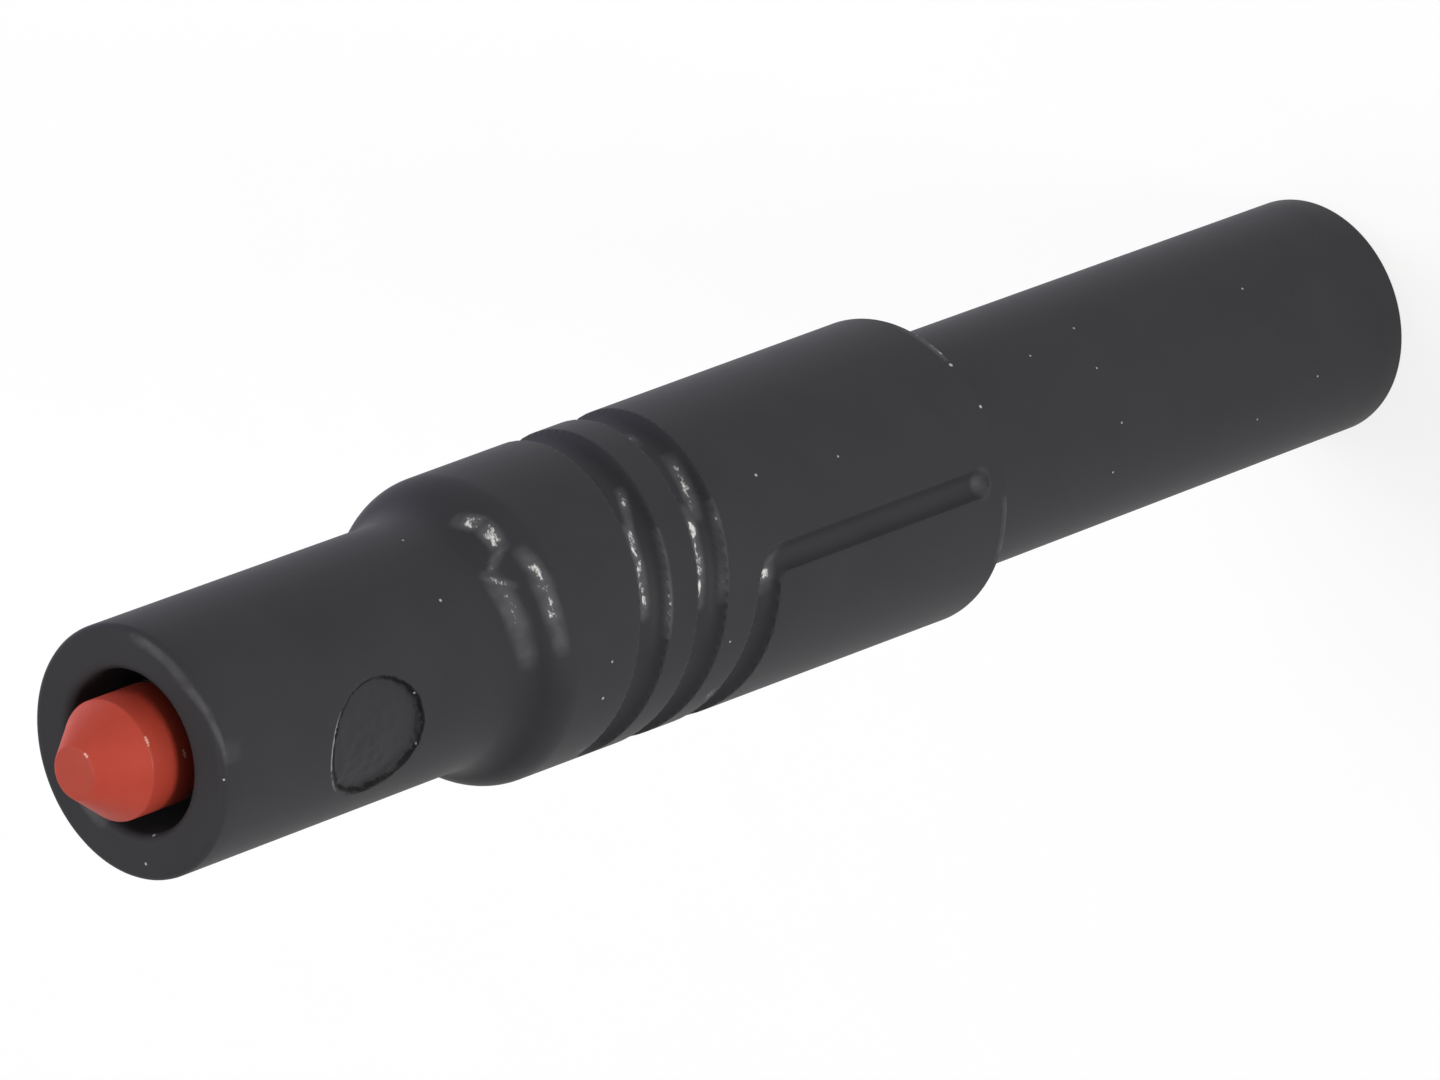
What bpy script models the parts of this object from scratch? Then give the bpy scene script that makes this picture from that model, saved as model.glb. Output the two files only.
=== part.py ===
"""Banana plug for 4 mm sockets, with a sheath that slides back over its rear tube.

The plug stands on the flat end of its rear tube, at z = 0, with its axis on +Z and its
contact tip up. All sizes are in metres.
"""

import math

import bmesh
import bpy
from mathutils import Vector

# Rear tube and neck
TUBE_RADIUS = 0.0040
REAR_TUBE_EXPOSED = 0.0215
TUBE_WALL = 0.0011
POCKET_WALL = 0.00075
TUBE_WEB = 0.0025
EDGE_CHAMFER = 0.00015

# Sheath: neck, ogee shoulder and grip
NECK_LENGTH = 0.0124
SHOULDER_LENGTH = 0.00225
GRIP_LENGTH = 0.0200
GRIP_WALL = 0.0008
GRIP_TAPER = 0.00012
MOUTH_ROUNDING = 0.00022
MOUTH_LIP = 0.00030
MOUTH_BORE_DEPTH = 0.01015
SHEATH_TRAVEL = 0.0120

# Helical grooves of the grip
GROOVE_STARTS = 2
GROOVE_PITCH = 0.0053
GROOVE_TURNS = 1.17
GROOVE_WIDTH = 0.00134
GROOVE_DEPTH = 0.00045
GROOVE_FRONT_MARGIN = 0.0026
LEG_WIDTH = 0.00090
LEG_DEPTH = 0.00035
LEG_MARGIN = 0.0008
WIDENING_LENGTH = 0.0040
CORNER_RADIUS = 0.0008
CORNER_ANGLE = math.radians(-106.1)

# Round recess in the neck
RECESS_RADIUS = 0.00195
RECESS_DEPTH = 0.00020
RECESS_FROM_MOUTH = 0.00665
RECESS_ANGLE = math.radians(-124.1)

# Contact pin and what it carries
PIN_RADIUS = 0.00195
PIN_NECK_STEP = 0.00055
PIN_FRONT_FROM_MOUTH = 0.00135
PIN_COLLAR_LENGTH = 0.0011
CAGE_SHEET = 0.00018
CAGE_LEAVES = 8
CAGE_BOW = 0.00010
CAGE_RING_LENGTH = 0.0008
CLIP_THICKNESS = 0.0005
CLIP_BITE = 0.0003
CLIP_LAND = 0.0011
TIP_STEP = 0.00005
TIP_CYLINDER = 0.0021
TIP_CONE_LENGTH = 0.0015
TIP_END_STEP = 0.00105
TIP_EDGE = 0.00012
TIP_STEM_RADIUS = 0.0008
TIP_STEM_LENGTH = 0.0036

# Spring and washers
SPRING_WIRE = 0.00045
SPRING_TURNS = 10
WASHER_THICKNESS = 0.0004
LOCK_WASHER_TEETH = 10

# Wire barrel, clamp screws and leaf
BARREL_LENGTH = 0.0115
BARREL_WALL = 0.00115
THREAD_WALL = 0.0009
THREAD_HOLE_DEPTH = 0.0040
THREAD_RUNOUT = 0.0005
BARREL_WEB = 0.0013
SCREW_RADIUS = 0.00080
SCREW_LENGTH = 0.0011
SCREW_PITCH = 0.0024
SCREW_COUNT = 2
SCREW_SLOT_WIDTH = 0.00028
SCREW_SLOT_DEPTH = 0.00044
LEAF_THICKNESS = 0.0002

# Cable bush and slide ring
BUSH_LENGTH = 0.0040
BUSH_WALL = 0.0009
BUSH_RECESS = 0.0003
BUSH_RIB = 0.0002
SLIDE_RING_WIDTH = 0.0009
SLIDE_RING_SETBACK = 0.0007
SLIDE_RING_DEPTH = 0.0003

# Clearances
FIT_GAP = 0.0001
RING_GAP = 0.00007
SLIDE_GAP = 0.00015
GUIDE_GAP = 0.00025
BARREL_GAP = 0.0004
MOUTH_GAP = 0.00062
CLIP_GAP = 0.0001
BUSH_TO_BARREL = 0.0011
LEAF_END_GAP = 0.0003

# Facets round a circle
SEGMENTS = 72
SMALL_SEGMENTS = 40

# Radii that follow from the sizes above
CHAMBER_RADIUS = TUBE_RADIUS + SLIDE_GAP
GRIP_FRONT_RADIUS = CHAMBER_RADIUS + GRIP_WALL
GRIP_REAR_RADIUS = GRIP_FRONT_RADIUS + GRIP_TAPER
POCKET_RADIUS = TUBE_RADIUS - POCKET_WALL
REAR_BORE_RADIUS = TUBE_RADIUS - TUBE_WALL
BARREL_RADIUS = REAR_BORE_RADIUS - BARREL_GAP
WIRE_HOLE_RADIUS = BARREL_RADIUS - BARREL_WALL
STUB_RADIUS = BARREL_RADIUS - THREAD_WALL - FIT_GAP
COIL_RADIUS = (PIN_RADIUS + POCKET_RADIUS) / 2
MOUTH_BORE_RADIUS = PIN_RADIUS + MOUTH_GAP
CLIP_RADIUS = MOUTH_BORE_RADIUS - CLIP_GAP
PIN_NECK_RADIUS = PIN_RADIUS - PIN_NECK_STEP
CAGE_BOW_RADIUS = PIN_RADIUS + CAGE_BOW
TIP_RADIUS = PIN_RADIUS - TIP_STEP
TIP_END_RADIUS = TIP_RADIUS - TIP_END_STEP
BUSH_RADIUS = REAR_BORE_RADIUS - FIT_GAP

# Heights in the rear tube, stacked up from its rear end
BARREL_Z = BUSH_RECESS + BUSH_LENGTH + BUSH_TO_BARREL
BARREL_TOP = BARREL_Z + BARREL_LENGTH
STUB_END = BARREL_TOP - THREAD_HOLE_DEPTH + THREAD_RUNOUT
WIRE_HOLE_DEPTH = BARREL_LENGTH - THREAD_HOLE_DEPTH - BARREL_WEB
LOCK_WASHER_Z = BARREL_TOP + FIT_GAP
TUBE_WEB_BACK = LOCK_WASHER_Z + WASHER_THICKNESS + FIT_GAP
POCKET_FLOOR = TUBE_WEB_BACK + TUBE_WEB
REAR_WASHER_Z = POCKET_FLOOR + FIT_GAP
SPRING_BASE = REAR_WASHER_Z + WASHER_THICKNESS + FIT_GAP

# Heights in the sheath and on the pin
SHEATH_Z = REAR_TUBE_EXPOSED
SHEATH_LENGTH = NECK_LENGTH + SHOULDER_LENGTH + GRIP_LENGTH
MOUTH_Z = SHEATH_Z + SHEATH_LENGTH
WEB_FRONT = SHEATH_LENGTH - MOUTH_BORE_DEPTH
CHAMBER_END = GRIP_LENGTH - FIT_GAP
CORNER_HEIGHT = GRIP_LENGTH - GROOVE_FRONT_MARGIN - GROOVE_PITCH * GROOVE_TURNS
CLIP_Z = SHEATH_Z + WEB_FRONT + FIT_GAP
PIN_NECK_BASE = CLIP_Z + CLIP_THICKNESS + FIT_GAP + CLIP_LAND
PIN_FRONT = MOUTH_Z - PIN_FRONT_FROM_MOUTH
PIN_NECK_TOP = PIN_FRONT - PIN_COLLAR_LENGTH
CAGE_LENGTH = PIN_NECK_TOP - PIN_NECK_BASE - 2 * FIT_GAP
FRONT_WASHER_Z = SHEATH_Z + CHAMBER_END - FIT_GAP - WASHER_THICKNESS
SPRING_LENGTH = FRONT_WASHER_Z - FIT_GAP - SPRING_BASE

# The pushed back sheath stops with its washer on the rear tube's front end
TUBE_LENGTH = FRONT_WASHER_Z - SHEATH_TRAVEL - FIT_GAP

# Places in the barrel, measured from the axis
SCREW_REACH = BARREL_RADIUS - FIT_GAP
LEAF_OUTER_X = SCREW_REACH - SCREW_LENGTH - FIT_GAP
LEAF_WIDTH = 2 * math.sqrt((WIRE_HOLE_RADIUS - FIT_GAP) ** 2 - LEAF_OUTER_X ** 2)
LEAF_LENGTH = WIRE_HOLE_DEPTH - 2 * LEAF_END_GAP

# Colour, roughness and metallic value of each material
MATERIALS = {
    "black_plastic": ((0.045, 0.045, 0.048), 0.55, 0.0),
    "red_plastic": ((0.50, 0.065, 0.035), 0.40, 0.0),
    "nickel_plate": ((0.62, 0.60, 0.56), 0.25, 1.0),
    "spring_steel": ((0.45, 0.46, 0.48), 0.30, 1.0),
    "zinc_steel": ((0.55, 0.57, 0.60), 0.35, 1.0),
    "brass": ((0.70, 0.52, 0.22), 0.30, 1.0),
    "gold_plate": ((0.83, 0.62, 0.28), 0.25, 1.0),
    "black_rubber": ((0.03, 0.03, 0.03), 0.80, 0.0),
    "white_plastic": ((0.80, 0.79, 0.75), 0.45, 0.0),
}


def clear_scene():
    """Removes whatever the scene starts with."""
    for item in list(bpy.data.objects):
        bpy.data.objects.remove(item, do_unlink=True)


def make_material(name):
    """One Principled material from the table."""
    colour, roughness, metallic = MATERIALS[name]
    material = bpy.data.materials.new(name)
    material.use_nodes = True
    shader = material.node_tree.nodes["Principled BSDF"]
    shader.inputs["Base Color"].default_value = (*colour, 1.0)
    shader.inputs["Roughness"].default_value = roughness
    shader.inputs["Metallic"].default_value = metallic
    material.diffuse_color = (*colour, 1.0)
    return material


def add_object(name, bm, material, parent=None, height=0.0):
    """Turns a bmesh into a smooth-shaded object at a height on the axis."""
    bm.normal_update()
    bmesh.ops.recalc_face_normals(bm, faces=bm.faces)
    mesh = bpy.data.meshes.new(name)
    bm.to_mesh(mesh)
    bm.free()
    mesh.shade_smooth()
    mesh.set_sharp_from_angle(angle=math.radians(35))
    item = bpy.data.objects.new(name, mesh)
    bpy.context.scene.collection.objects.link(item)
    if material:
        mesh.materials.append(make_material(material))
    item.parent = parent
    base = parent.location.z if parent else 0.0
    item.location = (0.0, 0.0, height - base)
    return item


def add_empty(name, height):
    """An empty on the axis, which carries the pieces that move together."""
    item = bpy.data.objects.new(name, None)
    item.empty_display_size = TUBE_RADIUS
    bpy.context.scene.collection.objects.link(item)
    item.location = (0.0, 0.0, height)
    return item


def cut(target, cutters):
    """Cuts each cutter out of the target, and hides the cutters."""
    for cutter in cutters:
        cutter.hide_render = True
        cutter.display_type = "WIRE"
        modifier = target.modifiers.new("cut_" + cutter.name, "BOOLEAN")
        modifier.operation = "DIFFERENCE"
        modifier.object = cutter
        modifier.solver = "EXACT"


def revolve(profile, segments=SMALL_SEGMENTS):
    """A solid turned from a closed outline of (radius, height) points."""
    bm = bmesh.new()
    verts = [bm.verts.new((radius, 0.0, height)) for radius, height in profile]
    edges = [bm.edges.new((verts[i - 1], verts[i])) for i in range(len(verts))]
    bmesh.ops.spin(
        bm, geom=verts + edges, cent=(0, 0, 0), axis=(0, 0, 1),
        angle=2 * math.pi, steps=segments, use_merge=True,
    )
    bmesh.ops.remove_doubles(bm, verts=bm.verts, dist=1e-7)
    flat = [edge for edge in bm.edges if not edge.link_faces]
    bmesh.ops.delete(bm, geom=flat, context="EDGES")
    return bm


def polar(radius, angle, height):
    """A point at a radius and angle round the axis."""
    return (radius * math.cos(angle), radius * math.sin(angle), height)


def shell_from_cells(angles, stations, solid):
    """A closed shell of the cells that solid(column, row) keeps.

    angles are the column borders round the full circle. stations are the row borders,
    each (height, inner radius, outer radius).
    """
    bm = bmesh.new()
    columns = len(angles)
    inner = [[bm.verts.new(polar(r_in, a, z)) for a in angles] for z, r_in, _ in stations]
    outer = [[bm.verts.new(polar(r_out, a, z)) for a in angles] for z, _, r_out in stations]

    def kept(column, row):
        return 0 <= row < len(stations) - 1 and solid(column % columns, row)

    for row in range(len(stations) - 1):
        for column in range(columns):
            if not kept(column, row):
                continue
            after = (column + 1) % columns
            corners = [(row, column), (row, after), (row + 1, after), (row + 1, column)]
            neighbours = [(column, row - 1), (column + 1, row), (column, row + 1), (column - 1, row)]
            bm.faces.new([outer[r][c] for r, c in corners])
            bm.faces.new([inner[r][c] for r, c in reversed(corners)])
            for side in range(4):
                if kept(*neighbours[side]):
                    continue
                (r0, c0), (r1, c1) = corners[side], corners[(side + 1) % 4]
                bm.faces.new([inner[r0][c0], inner[r1][c1], outer[r1][c1], outer[r0][c0]])
    loose = [vert for vert in bm.verts if not vert.link_faces]
    bmesh.ops.delete(bm, geom=loose, context="VERTS")
    return bm


def sweep(points, radius, sides):
    """A round wire along a list of points, with flat ends."""
    bm = bmesh.new()
    rings = []
    for index, point in enumerate(points):
        before = points[max(index - 1, 0)]
        after = points[min(index + 1, len(points) - 1)]
        along = (after - before).normalized()
        side = along.cross((0, 0, 1)).normalized()
        up = side.cross(along)
        ring = []
        for k in range(sides):
            turn = 2 * math.pi * k / sides
            ring.append(bm.verts.new(point + radius * (math.cos(turn) * side + math.sin(turn) * up)))
        rings.append(ring)
    for first, second in zip(rings, rings[1:]):
        for k in range(sides):
            after = (k + 1) % sides
            bm.faces.new([first[k], first[after], second[after], second[k]])
    bm.faces.new(rings[0])
    bm.faces.new(rings[-1])
    return bm


def grip_radius(height):
    """Outer radius of the grip's cone at a height above its rear face."""
    share = height / GRIP_LENGTH
    return GRIP_REAR_RADIUS + (GRIP_FRONT_RADIUS - GRIP_REAR_RADIUS) * share


def shoulder_outline(points_per_arc):
    """The ogee from the grip up to the neck: two equal arcs, tangent where they meet."""
    rise = GRIP_FRONT_RADIUS - TUBE_RADIUS
    turn = 2 * math.atan2(rise, SHOULDER_LENGTH)
    radius = SHOULDER_LENGTH / (2 * math.sin(turn))
    top = GRIP_LENGTH + SHOULDER_LENGTH
    outline = []
    for k in range(points_per_arc + 1):
        angle = turn * k / points_per_arc
        drop = radius * (1 - math.cos(angle))
        outline.append((GRIP_FRONT_RADIUS - drop, GRIP_LENGTH + radius * math.sin(angle)))
    for k in range(points_per_arc - 1, -1, -1):
        angle = turn * k / points_per_arc
        lift = radius * (1 - math.cos(angle))
        outline.append((TUBE_RADIUS + lift, top - radius * math.sin(angle)))
    return outline


def mouth_outline(points_per_arc):
    """The mouth of the sheath: its rounded rim, its flat ring and the lip of its bore."""
    outline = []
    for k in range(points_per_arc + 1):
        angle = 0.5 * math.pi * k / points_per_arc
        radius = TUBE_RADIUS - MOUTH_ROUNDING * (1 - math.cos(angle))
        outline.append((radius, SHEATH_LENGTH - MOUTH_ROUNDING * (1 - math.sin(angle))))
    for k in range(points_per_arc + 1):
        angle = 0.5 * math.pi * k / points_per_arc
        radius = MOUTH_BORE_RADIUS + MOUTH_LIP * (1 - math.sin(angle))
        outline.append((radius, SHEATH_LENGTH - MOUTH_LIP * (1 - math.cos(angle))))
    return outline


def sheath_profile():
    """Half section of the sheath, from its rear face up the outside and down the bores."""
    guide_radius = PIN_RADIUS + GUIDE_GAP
    chamfer = EDGE_CHAMFER
    outer = [(CHAMBER_RADIUS + chamfer, 0.0), (GRIP_REAR_RADIUS, 0.0)]
    outer += shoulder_outline(4)
    outer += mouth_outline(3)
    bores = [
        (MOUTH_BORE_RADIUS, WEB_FRONT),
        (guide_radius, WEB_FRONT),
        (guide_radius, CHAMBER_END),
        (CHAMBER_RADIUS, CHAMBER_END),
        (CHAMBER_RADIUS, chamfer),
    ]
    return outer + bores


def groove_path():
    """Stations of one groove: (angle, height, width share, leg share).

    The groove runs down the grip as a helix, turns a rounded corner and ends in an
    axial leg. Width share falls to nothing at both rounded ends. Leg share is 0 on
    most of the helix, rises to 1 towards the corner and stays there on the leg.
    """
    radius = grip_radius(CORNER_HEIGHT)
    slope = math.atan2(GROOVE_PITCH, 2 * math.pi * radius)
    corner = math.pi / 2 - slope
    setback = CORNER_RADIUS * math.tan(corner / 2)
    length = GROOVE_TURNS * math.hypot(2 * math.pi * radius, GROOVE_PITCH)
    along = (math.cos(slope), -math.sin(slope))
    stations = []

    def add(across, height, width, leg):
        stations.append((CORNER_ANGLE + across / radius, height, width, leg))

    def add_helix(back, width):
        leg = max(0.0, 1 - (back - setback) / WIDENING_LENGTH)
        add(-back * along[0], CORNER_HEIGHT - back * along[1], width, leg)

    end_steps = 4
    for k in range(end_steps, 0, -1):
        share = math.sin(0.5 * math.pi * k / (end_steps + 0.4))
        add_helix(length + share * GROOVE_WIDTH / 2, math.sqrt(1 - share * share))
    helix_steps = 38
    for k in range(helix_steps + 1):
        add_helix(length + (setback - length) * k / helix_steps, 1.0)
    centre = (-CORNER_RADIUS, CORNER_HEIGHT - setback)
    corner_steps = 5
    for k in range(1, corner_steps + 1):
        turn = corner * (1 - k / corner_steps)
        across = centre[0] + CORNER_RADIUS * math.cos(turn)
        add(across, centre[1] + CORNER_RADIUS * math.sin(turn), 1.0, 1.0)
    leg_end = LEG_MARGIN + LEG_WIDTH / 2
    leg_steps = 5
    for k in range(1, leg_steps + 1):
        add(0.0, centre[1] + (leg_end - centre[1]) * k / leg_steps, 1.0, 1.0)
    for k in range(1, end_steps + 1):
        share = math.sin(0.5 * math.pi * k / (end_steps + 0.4))
        add(0.0, leg_end - share * LEG_WIDTH / 2, math.sqrt(1 - share * share), 1.0)
    return stations


def groove_cutter(name, start_angle):
    """A bar with a U section that follows the groove's path round the grip."""
    section = [(-0.5, 0.0), (-0.42, 0.55), (-0.22, 1.0), (0.22, 1.0), (0.42, 0.55), (0.5, 0.0)]
    stand_out = GROOVE_DEPTH
    stations = groove_path()
    reference = grip_radius(CORNER_HEIGHT)
    bm = bmesh.new()
    rings = []
    for index, (angle, height, share, leg) in enumerate(stations):
        before = stations[max(index - 1, 0)]
        after = stations[min(index + 1, len(stations) - 1)]
        run = (after[0] - before[0]) * reference
        fall = after[1] - before[1]
        size = math.hypot(run, fall)
        width = share * (GROOVE_WIDTH + (LEG_WIDTH - GROOVE_WIDTH) * leg)
        depth = (GROOVE_DEPTH + (LEG_DEPTH - GROOVE_DEPTH) * leg) * (0.35 + 0.65 * share)
        ring = []
        for across, down in section + [(0.5, None), (-0.5, None)]:
            shift = across * width
            turn = start_angle + angle - shift * fall / size / reference
            level = height + shift * run / size
            surface = grip_radius(level)
            radius = surface + stand_out if down is None else surface - down * depth
            ring.append(bm.verts.new(polar(radius, turn, level)))
        rings.append(ring)
    count = len(rings[0])
    for first, second in zip(rings, rings[1:]):
        for k in range(count):
            after = (k + 1) % count
            bm.faces.new([first[k], first[after], second[after], second[k]])
    bm.faces.new(rings[0])
    bm.faces.new(rings[-1])
    return add_object(name, bm, None, height=SHEATH_Z)


def recess_cutter():
    """A round pad that follows the neck's curve, for the shallow recess."""
    centre = SHEATH_LENGTH - RECESS_FROM_MOUTH
    rings = 4
    points = 36
    bm = bmesh.new()
    layers = []
    for radius in (TUBE_RADIUS - RECESS_DEPTH, TUBE_RADIUS + RECESS_DEPTH):
        layer = [[bm.verts.new(polar(radius, RECESS_ANGLE, centre))]]
        for ring in range(1, rings + 1):
            reach = RECESS_RADIUS * ring / rings
            loop = []
            for k in range(points):
                turn = 2 * math.pi * k / points
                across = RECESS_ANGLE + reach * math.cos(turn) / TUBE_RADIUS
                loop.append(bm.verts.new(polar(radius, across, centre + reach * math.sin(turn))))
            layer.append(loop)
        layers.append(layer)
    for layer in layers:
        for k in range(points):
            after = (k + 1) % points
            bm.faces.new([layer[0][0], layer[1][k], layer[1][after]])
            for inner, outer in zip(layer[1:], layer[2:]):
                bm.faces.new([inner[k], outer[k], outer[after], inner[after]])
    low, high = layers[0][-1], layers[1][-1]
    for k in range(points):
        after = (k + 1) % points
        bm.faces.new([low[k], low[after], high[after], high[k]])
    return add_object("recess_cutter", bm, None, height=SHEATH_Z)


def make_sheath(parent):
    """Neck, ogee shoulder and grip in one moulding, with its grooves and recess."""
    sheath = add_object("sheath", revolve(sheath_profile(), SEGMENTS), "black_plastic", parent, SHEATH_Z)
    cutters = [recess_cutter()]
    for k in range(GROOVE_STARTS):
        start = 2 * math.pi * k / GROOVE_STARTS
        cutters.append(groove_cutter("groove_cutter_%d" % (k + 1), start))
    cut(sheath, cutters)


def make_rear_tube(parent):
    """The tube in the hand: cable bore behind, spring pocket in front, a web between."""
    chamfer = EDGE_CHAMFER
    stub_hole = STUB_RADIUS + FIT_GAP
    ring_top = TUBE_LENGTH - SLIDE_RING_SETBACK
    ring_base = ring_top - SLIDE_RING_WIDTH - 2 * FIT_GAP
    profile = [
        (REAR_BORE_RADIUS + chamfer, 0.0),
        (TUBE_RADIUS - chamfer, 0.0),
        (TUBE_RADIUS, chamfer),
        (TUBE_RADIUS, ring_base),
        (TUBE_RADIUS - SLIDE_RING_DEPTH, ring_base),
        (TUBE_RADIUS - SLIDE_RING_DEPTH, ring_top),
        (TUBE_RADIUS, ring_top),
        (TUBE_RADIUS, TUBE_LENGTH - chamfer),
        (TUBE_RADIUS - chamfer, TUBE_LENGTH),
        (POCKET_RADIUS + chamfer, TUBE_LENGTH),
        (POCKET_RADIUS, TUBE_LENGTH - chamfer),
        (POCKET_RADIUS, POCKET_FLOOR),
        (stub_hole, POCKET_FLOOR),
        (stub_hole, TUBE_WEB_BACK),
        (REAR_BORE_RADIUS, TUBE_WEB_BACK),
        (REAR_BORE_RADIUS, chamfer),
    ]
    add_object("rear_tube", revolve(profile, SEGMENTS), "black_plastic", parent)


def make_slide_ring(parent):
    """A split ring in the groove at the rear tube's front end."""
    base = TUBE_LENGTH - SLIDE_RING_SETBACK - SLIDE_RING_WIDTH - FIT_GAP
    inner = TUBE_RADIUS - SLIDE_RING_DEPTH + RING_GAP
    outer = CHAMBER_RADIUS - RING_GAP
    angles = [2 * math.pi * k / SMALL_SEGMENTS for k in range(SMALL_SEGMENTS)]
    stations = [(0.0, inner, outer), (SLIDE_RING_WIDTH, inner, outer)]
    bm = shell_from_cells(angles, stations, lambda column, row: column > 0)
    add_object("slide_ring", bm, "white_plastic", parent, base)


def make_contact_pin(parent):
    """The turned pin: collar, neck for the cage, clip groove, shank and threaded stub."""
    stem_hole = TIP_STEM_RADIUS + FIT_GAP
    hole_end = PIN_FRONT - TIP_STEM_LENGTH - FIT_GAP
    edge = FIT_GAP
    clip_seat = PIN_RADIUS - CLIP_BITE
    profile = [
        (0.0, STUB_END),
        (STUB_RADIUS - edge, STUB_END),
        (STUB_RADIUS, STUB_END + edge),
        (STUB_RADIUS, SPRING_BASE),
        (PIN_RADIUS, SPRING_BASE),
        (PIN_RADIUS, CLIP_Z - FIT_GAP),
        (clip_seat, CLIP_Z - FIT_GAP),
        (clip_seat, CLIP_Z + CLIP_THICKNESS + FIT_GAP),
        (PIN_RADIUS, CLIP_Z + CLIP_THICKNESS + FIT_GAP),
        (PIN_RADIUS, PIN_NECK_BASE),
        (PIN_NECK_RADIUS, PIN_NECK_BASE),
        (PIN_NECK_RADIUS, PIN_NECK_TOP),
        (PIN_RADIUS, PIN_NECK_TOP),
        (PIN_RADIUS, PIN_FRONT - edge),
        (PIN_RADIUS - edge, PIN_FRONT),
        (stem_hole, PIN_FRONT),
        (stem_hole, hole_end),
        (0.0, hole_end),
    ]
    shifted = [(radius, height - STUB_END) for radius, height in profile]
    add_object("contact_pin", revolve(shifted), "nickel_plate", parent, STUB_END)


def make_contact_cage(parent):
    """A split cage of bowed leaves between two rings, round the pin's neck."""
    ring_inner = PIN_NECK_RADIUS + FIT_GAP
    ring_outer = ring_inner + CAGE_SHEET
    bow = CAGE_BOW_RADIUS - ring_outer
    leaf_length = CAGE_LENGTH - 2 * CAGE_RING_LENGTH
    bow_steps = 6
    stations = [(0.0, ring_inner, ring_outer)]
    for k in range(bow_steps + 1):
        lift = bow * math.sin(math.pi * k / bow_steps)
        height = CAGE_RING_LENGTH + leaf_length * k / bow_steps
        stations.append((height, ring_inner + lift, ring_outer + lift))
    stations.append((CAGE_LENGTH, ring_inner, ring_outer))
    leaf_cells = 3
    gap_cells = 2
    cells = leaf_cells + gap_cells
    leaf_share = 0.70
    angles = []
    for leaf in range(CAGE_LEAVES):
        for k in range(cells):
            if k < leaf_cells:
                share = leaf_share * k / leaf_cells
            else:
                share = leaf_share + (1 - leaf_share) * (k - leaf_cells) / gap_cells
            angles.append(2 * math.pi * (leaf + share) / CAGE_LEAVES)
    seam = len(angles) - 1
    last_row = len(stations) - 2

    def solid(column, row):
        if column == seam:
            return False
        return row in (0, last_row) or column % cells < leaf_cells

    bm = shell_from_cells(angles, stations, solid)
    add_object("contact_cage", bm, "gold_plate", parent, PIN_NECK_BASE + FIT_GAP)


def make_stop_clip(parent):
    """An open clip in the pin's groove, which the sheath's web rests against."""
    inner = PIN_RADIUS - CLIP_BITE + FIT_GAP
    columns = 40
    open_columns = 9
    angles = [2 * math.pi * k / columns for k in range(columns)]
    stations = [(0.0, inner, CLIP_RADIUS), (CLIP_THICKNESS, inner, CLIP_RADIUS)]
    bm = shell_from_cells(angles, stations, lambda column, row: column >= open_columns)
    add_object("stop_clip", bm, "spring_steel", parent, CLIP_Z)


def make_insulating_tip(parent):
    """The red tip: stem, cylinder and a cone with a blunt flat end."""
    base = PIN_FRONT + FIT_GAP
    stem = PIN_FRONT - TIP_STEM_LENGTH
    apex = TIP_CYLINDER + TIP_CONE_LENGTH
    profile = [
        (0.0, stem - base),
        (TIP_STEM_RADIUS, stem - base),
        (TIP_STEM_RADIUS, 0.0),
        (TIP_RADIUS, 0.0),
        (TIP_RADIUS, TIP_CYLINDER),
        (TIP_END_RADIUS, apex - TIP_EDGE / 2),
        (TIP_END_RADIUS - TIP_EDGE, apex),
        (0.0, apex),
    ]
    add_object("insulating_tip", revolve(profile), "red_plastic", parent, base)


def spring_points():
    """Centre line of a compression spring with a closed turn at each end."""
    closed_pitch = SPRING_WIRE * 1.06
    travel = SPRING_LENGTH - SPRING_WIRE
    open_turns = SPRING_TURNS - 2
    open_pitch = (travel - 2 * closed_pitch) / open_turns
    steps_per_turn = 16
    points = []
    for k in range(int(SPRING_TURNS * steps_per_turn) + 1):
        turns = k / steps_per_turn
        if turns < 1:
            height = closed_pitch * turns
        elif turns < 1 + open_turns:
            height = closed_pitch + open_pitch * (turns - 1)
        else:
            height = closed_pitch + open_pitch * open_turns + closed_pitch * (turns - 1 - open_turns)
        angle = 2 * math.pi * turns
        points.append(Vector(polar(COIL_RADIUS, angle, height + SPRING_WIRE / 2)))
    return points


def make_return_spring(parent):
    """The spring between the rear tube's web and the sheath."""
    bm = sweep(spring_points(), SPRING_WIRE / 2, 6)
    add_object("return_spring", bm, "spring_steel", parent, SPRING_BASE)


def make_washer(name, parent, height, inner, outer):
    """A flat ring with square edges."""
    profile = [(inner, 0.0), (outer, 0.0), (outer, WASHER_THICKNESS), (inner, WASHER_THICKNESS)]
    add_object(name, revolve(profile), "zinc_steel", parent, height)


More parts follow.
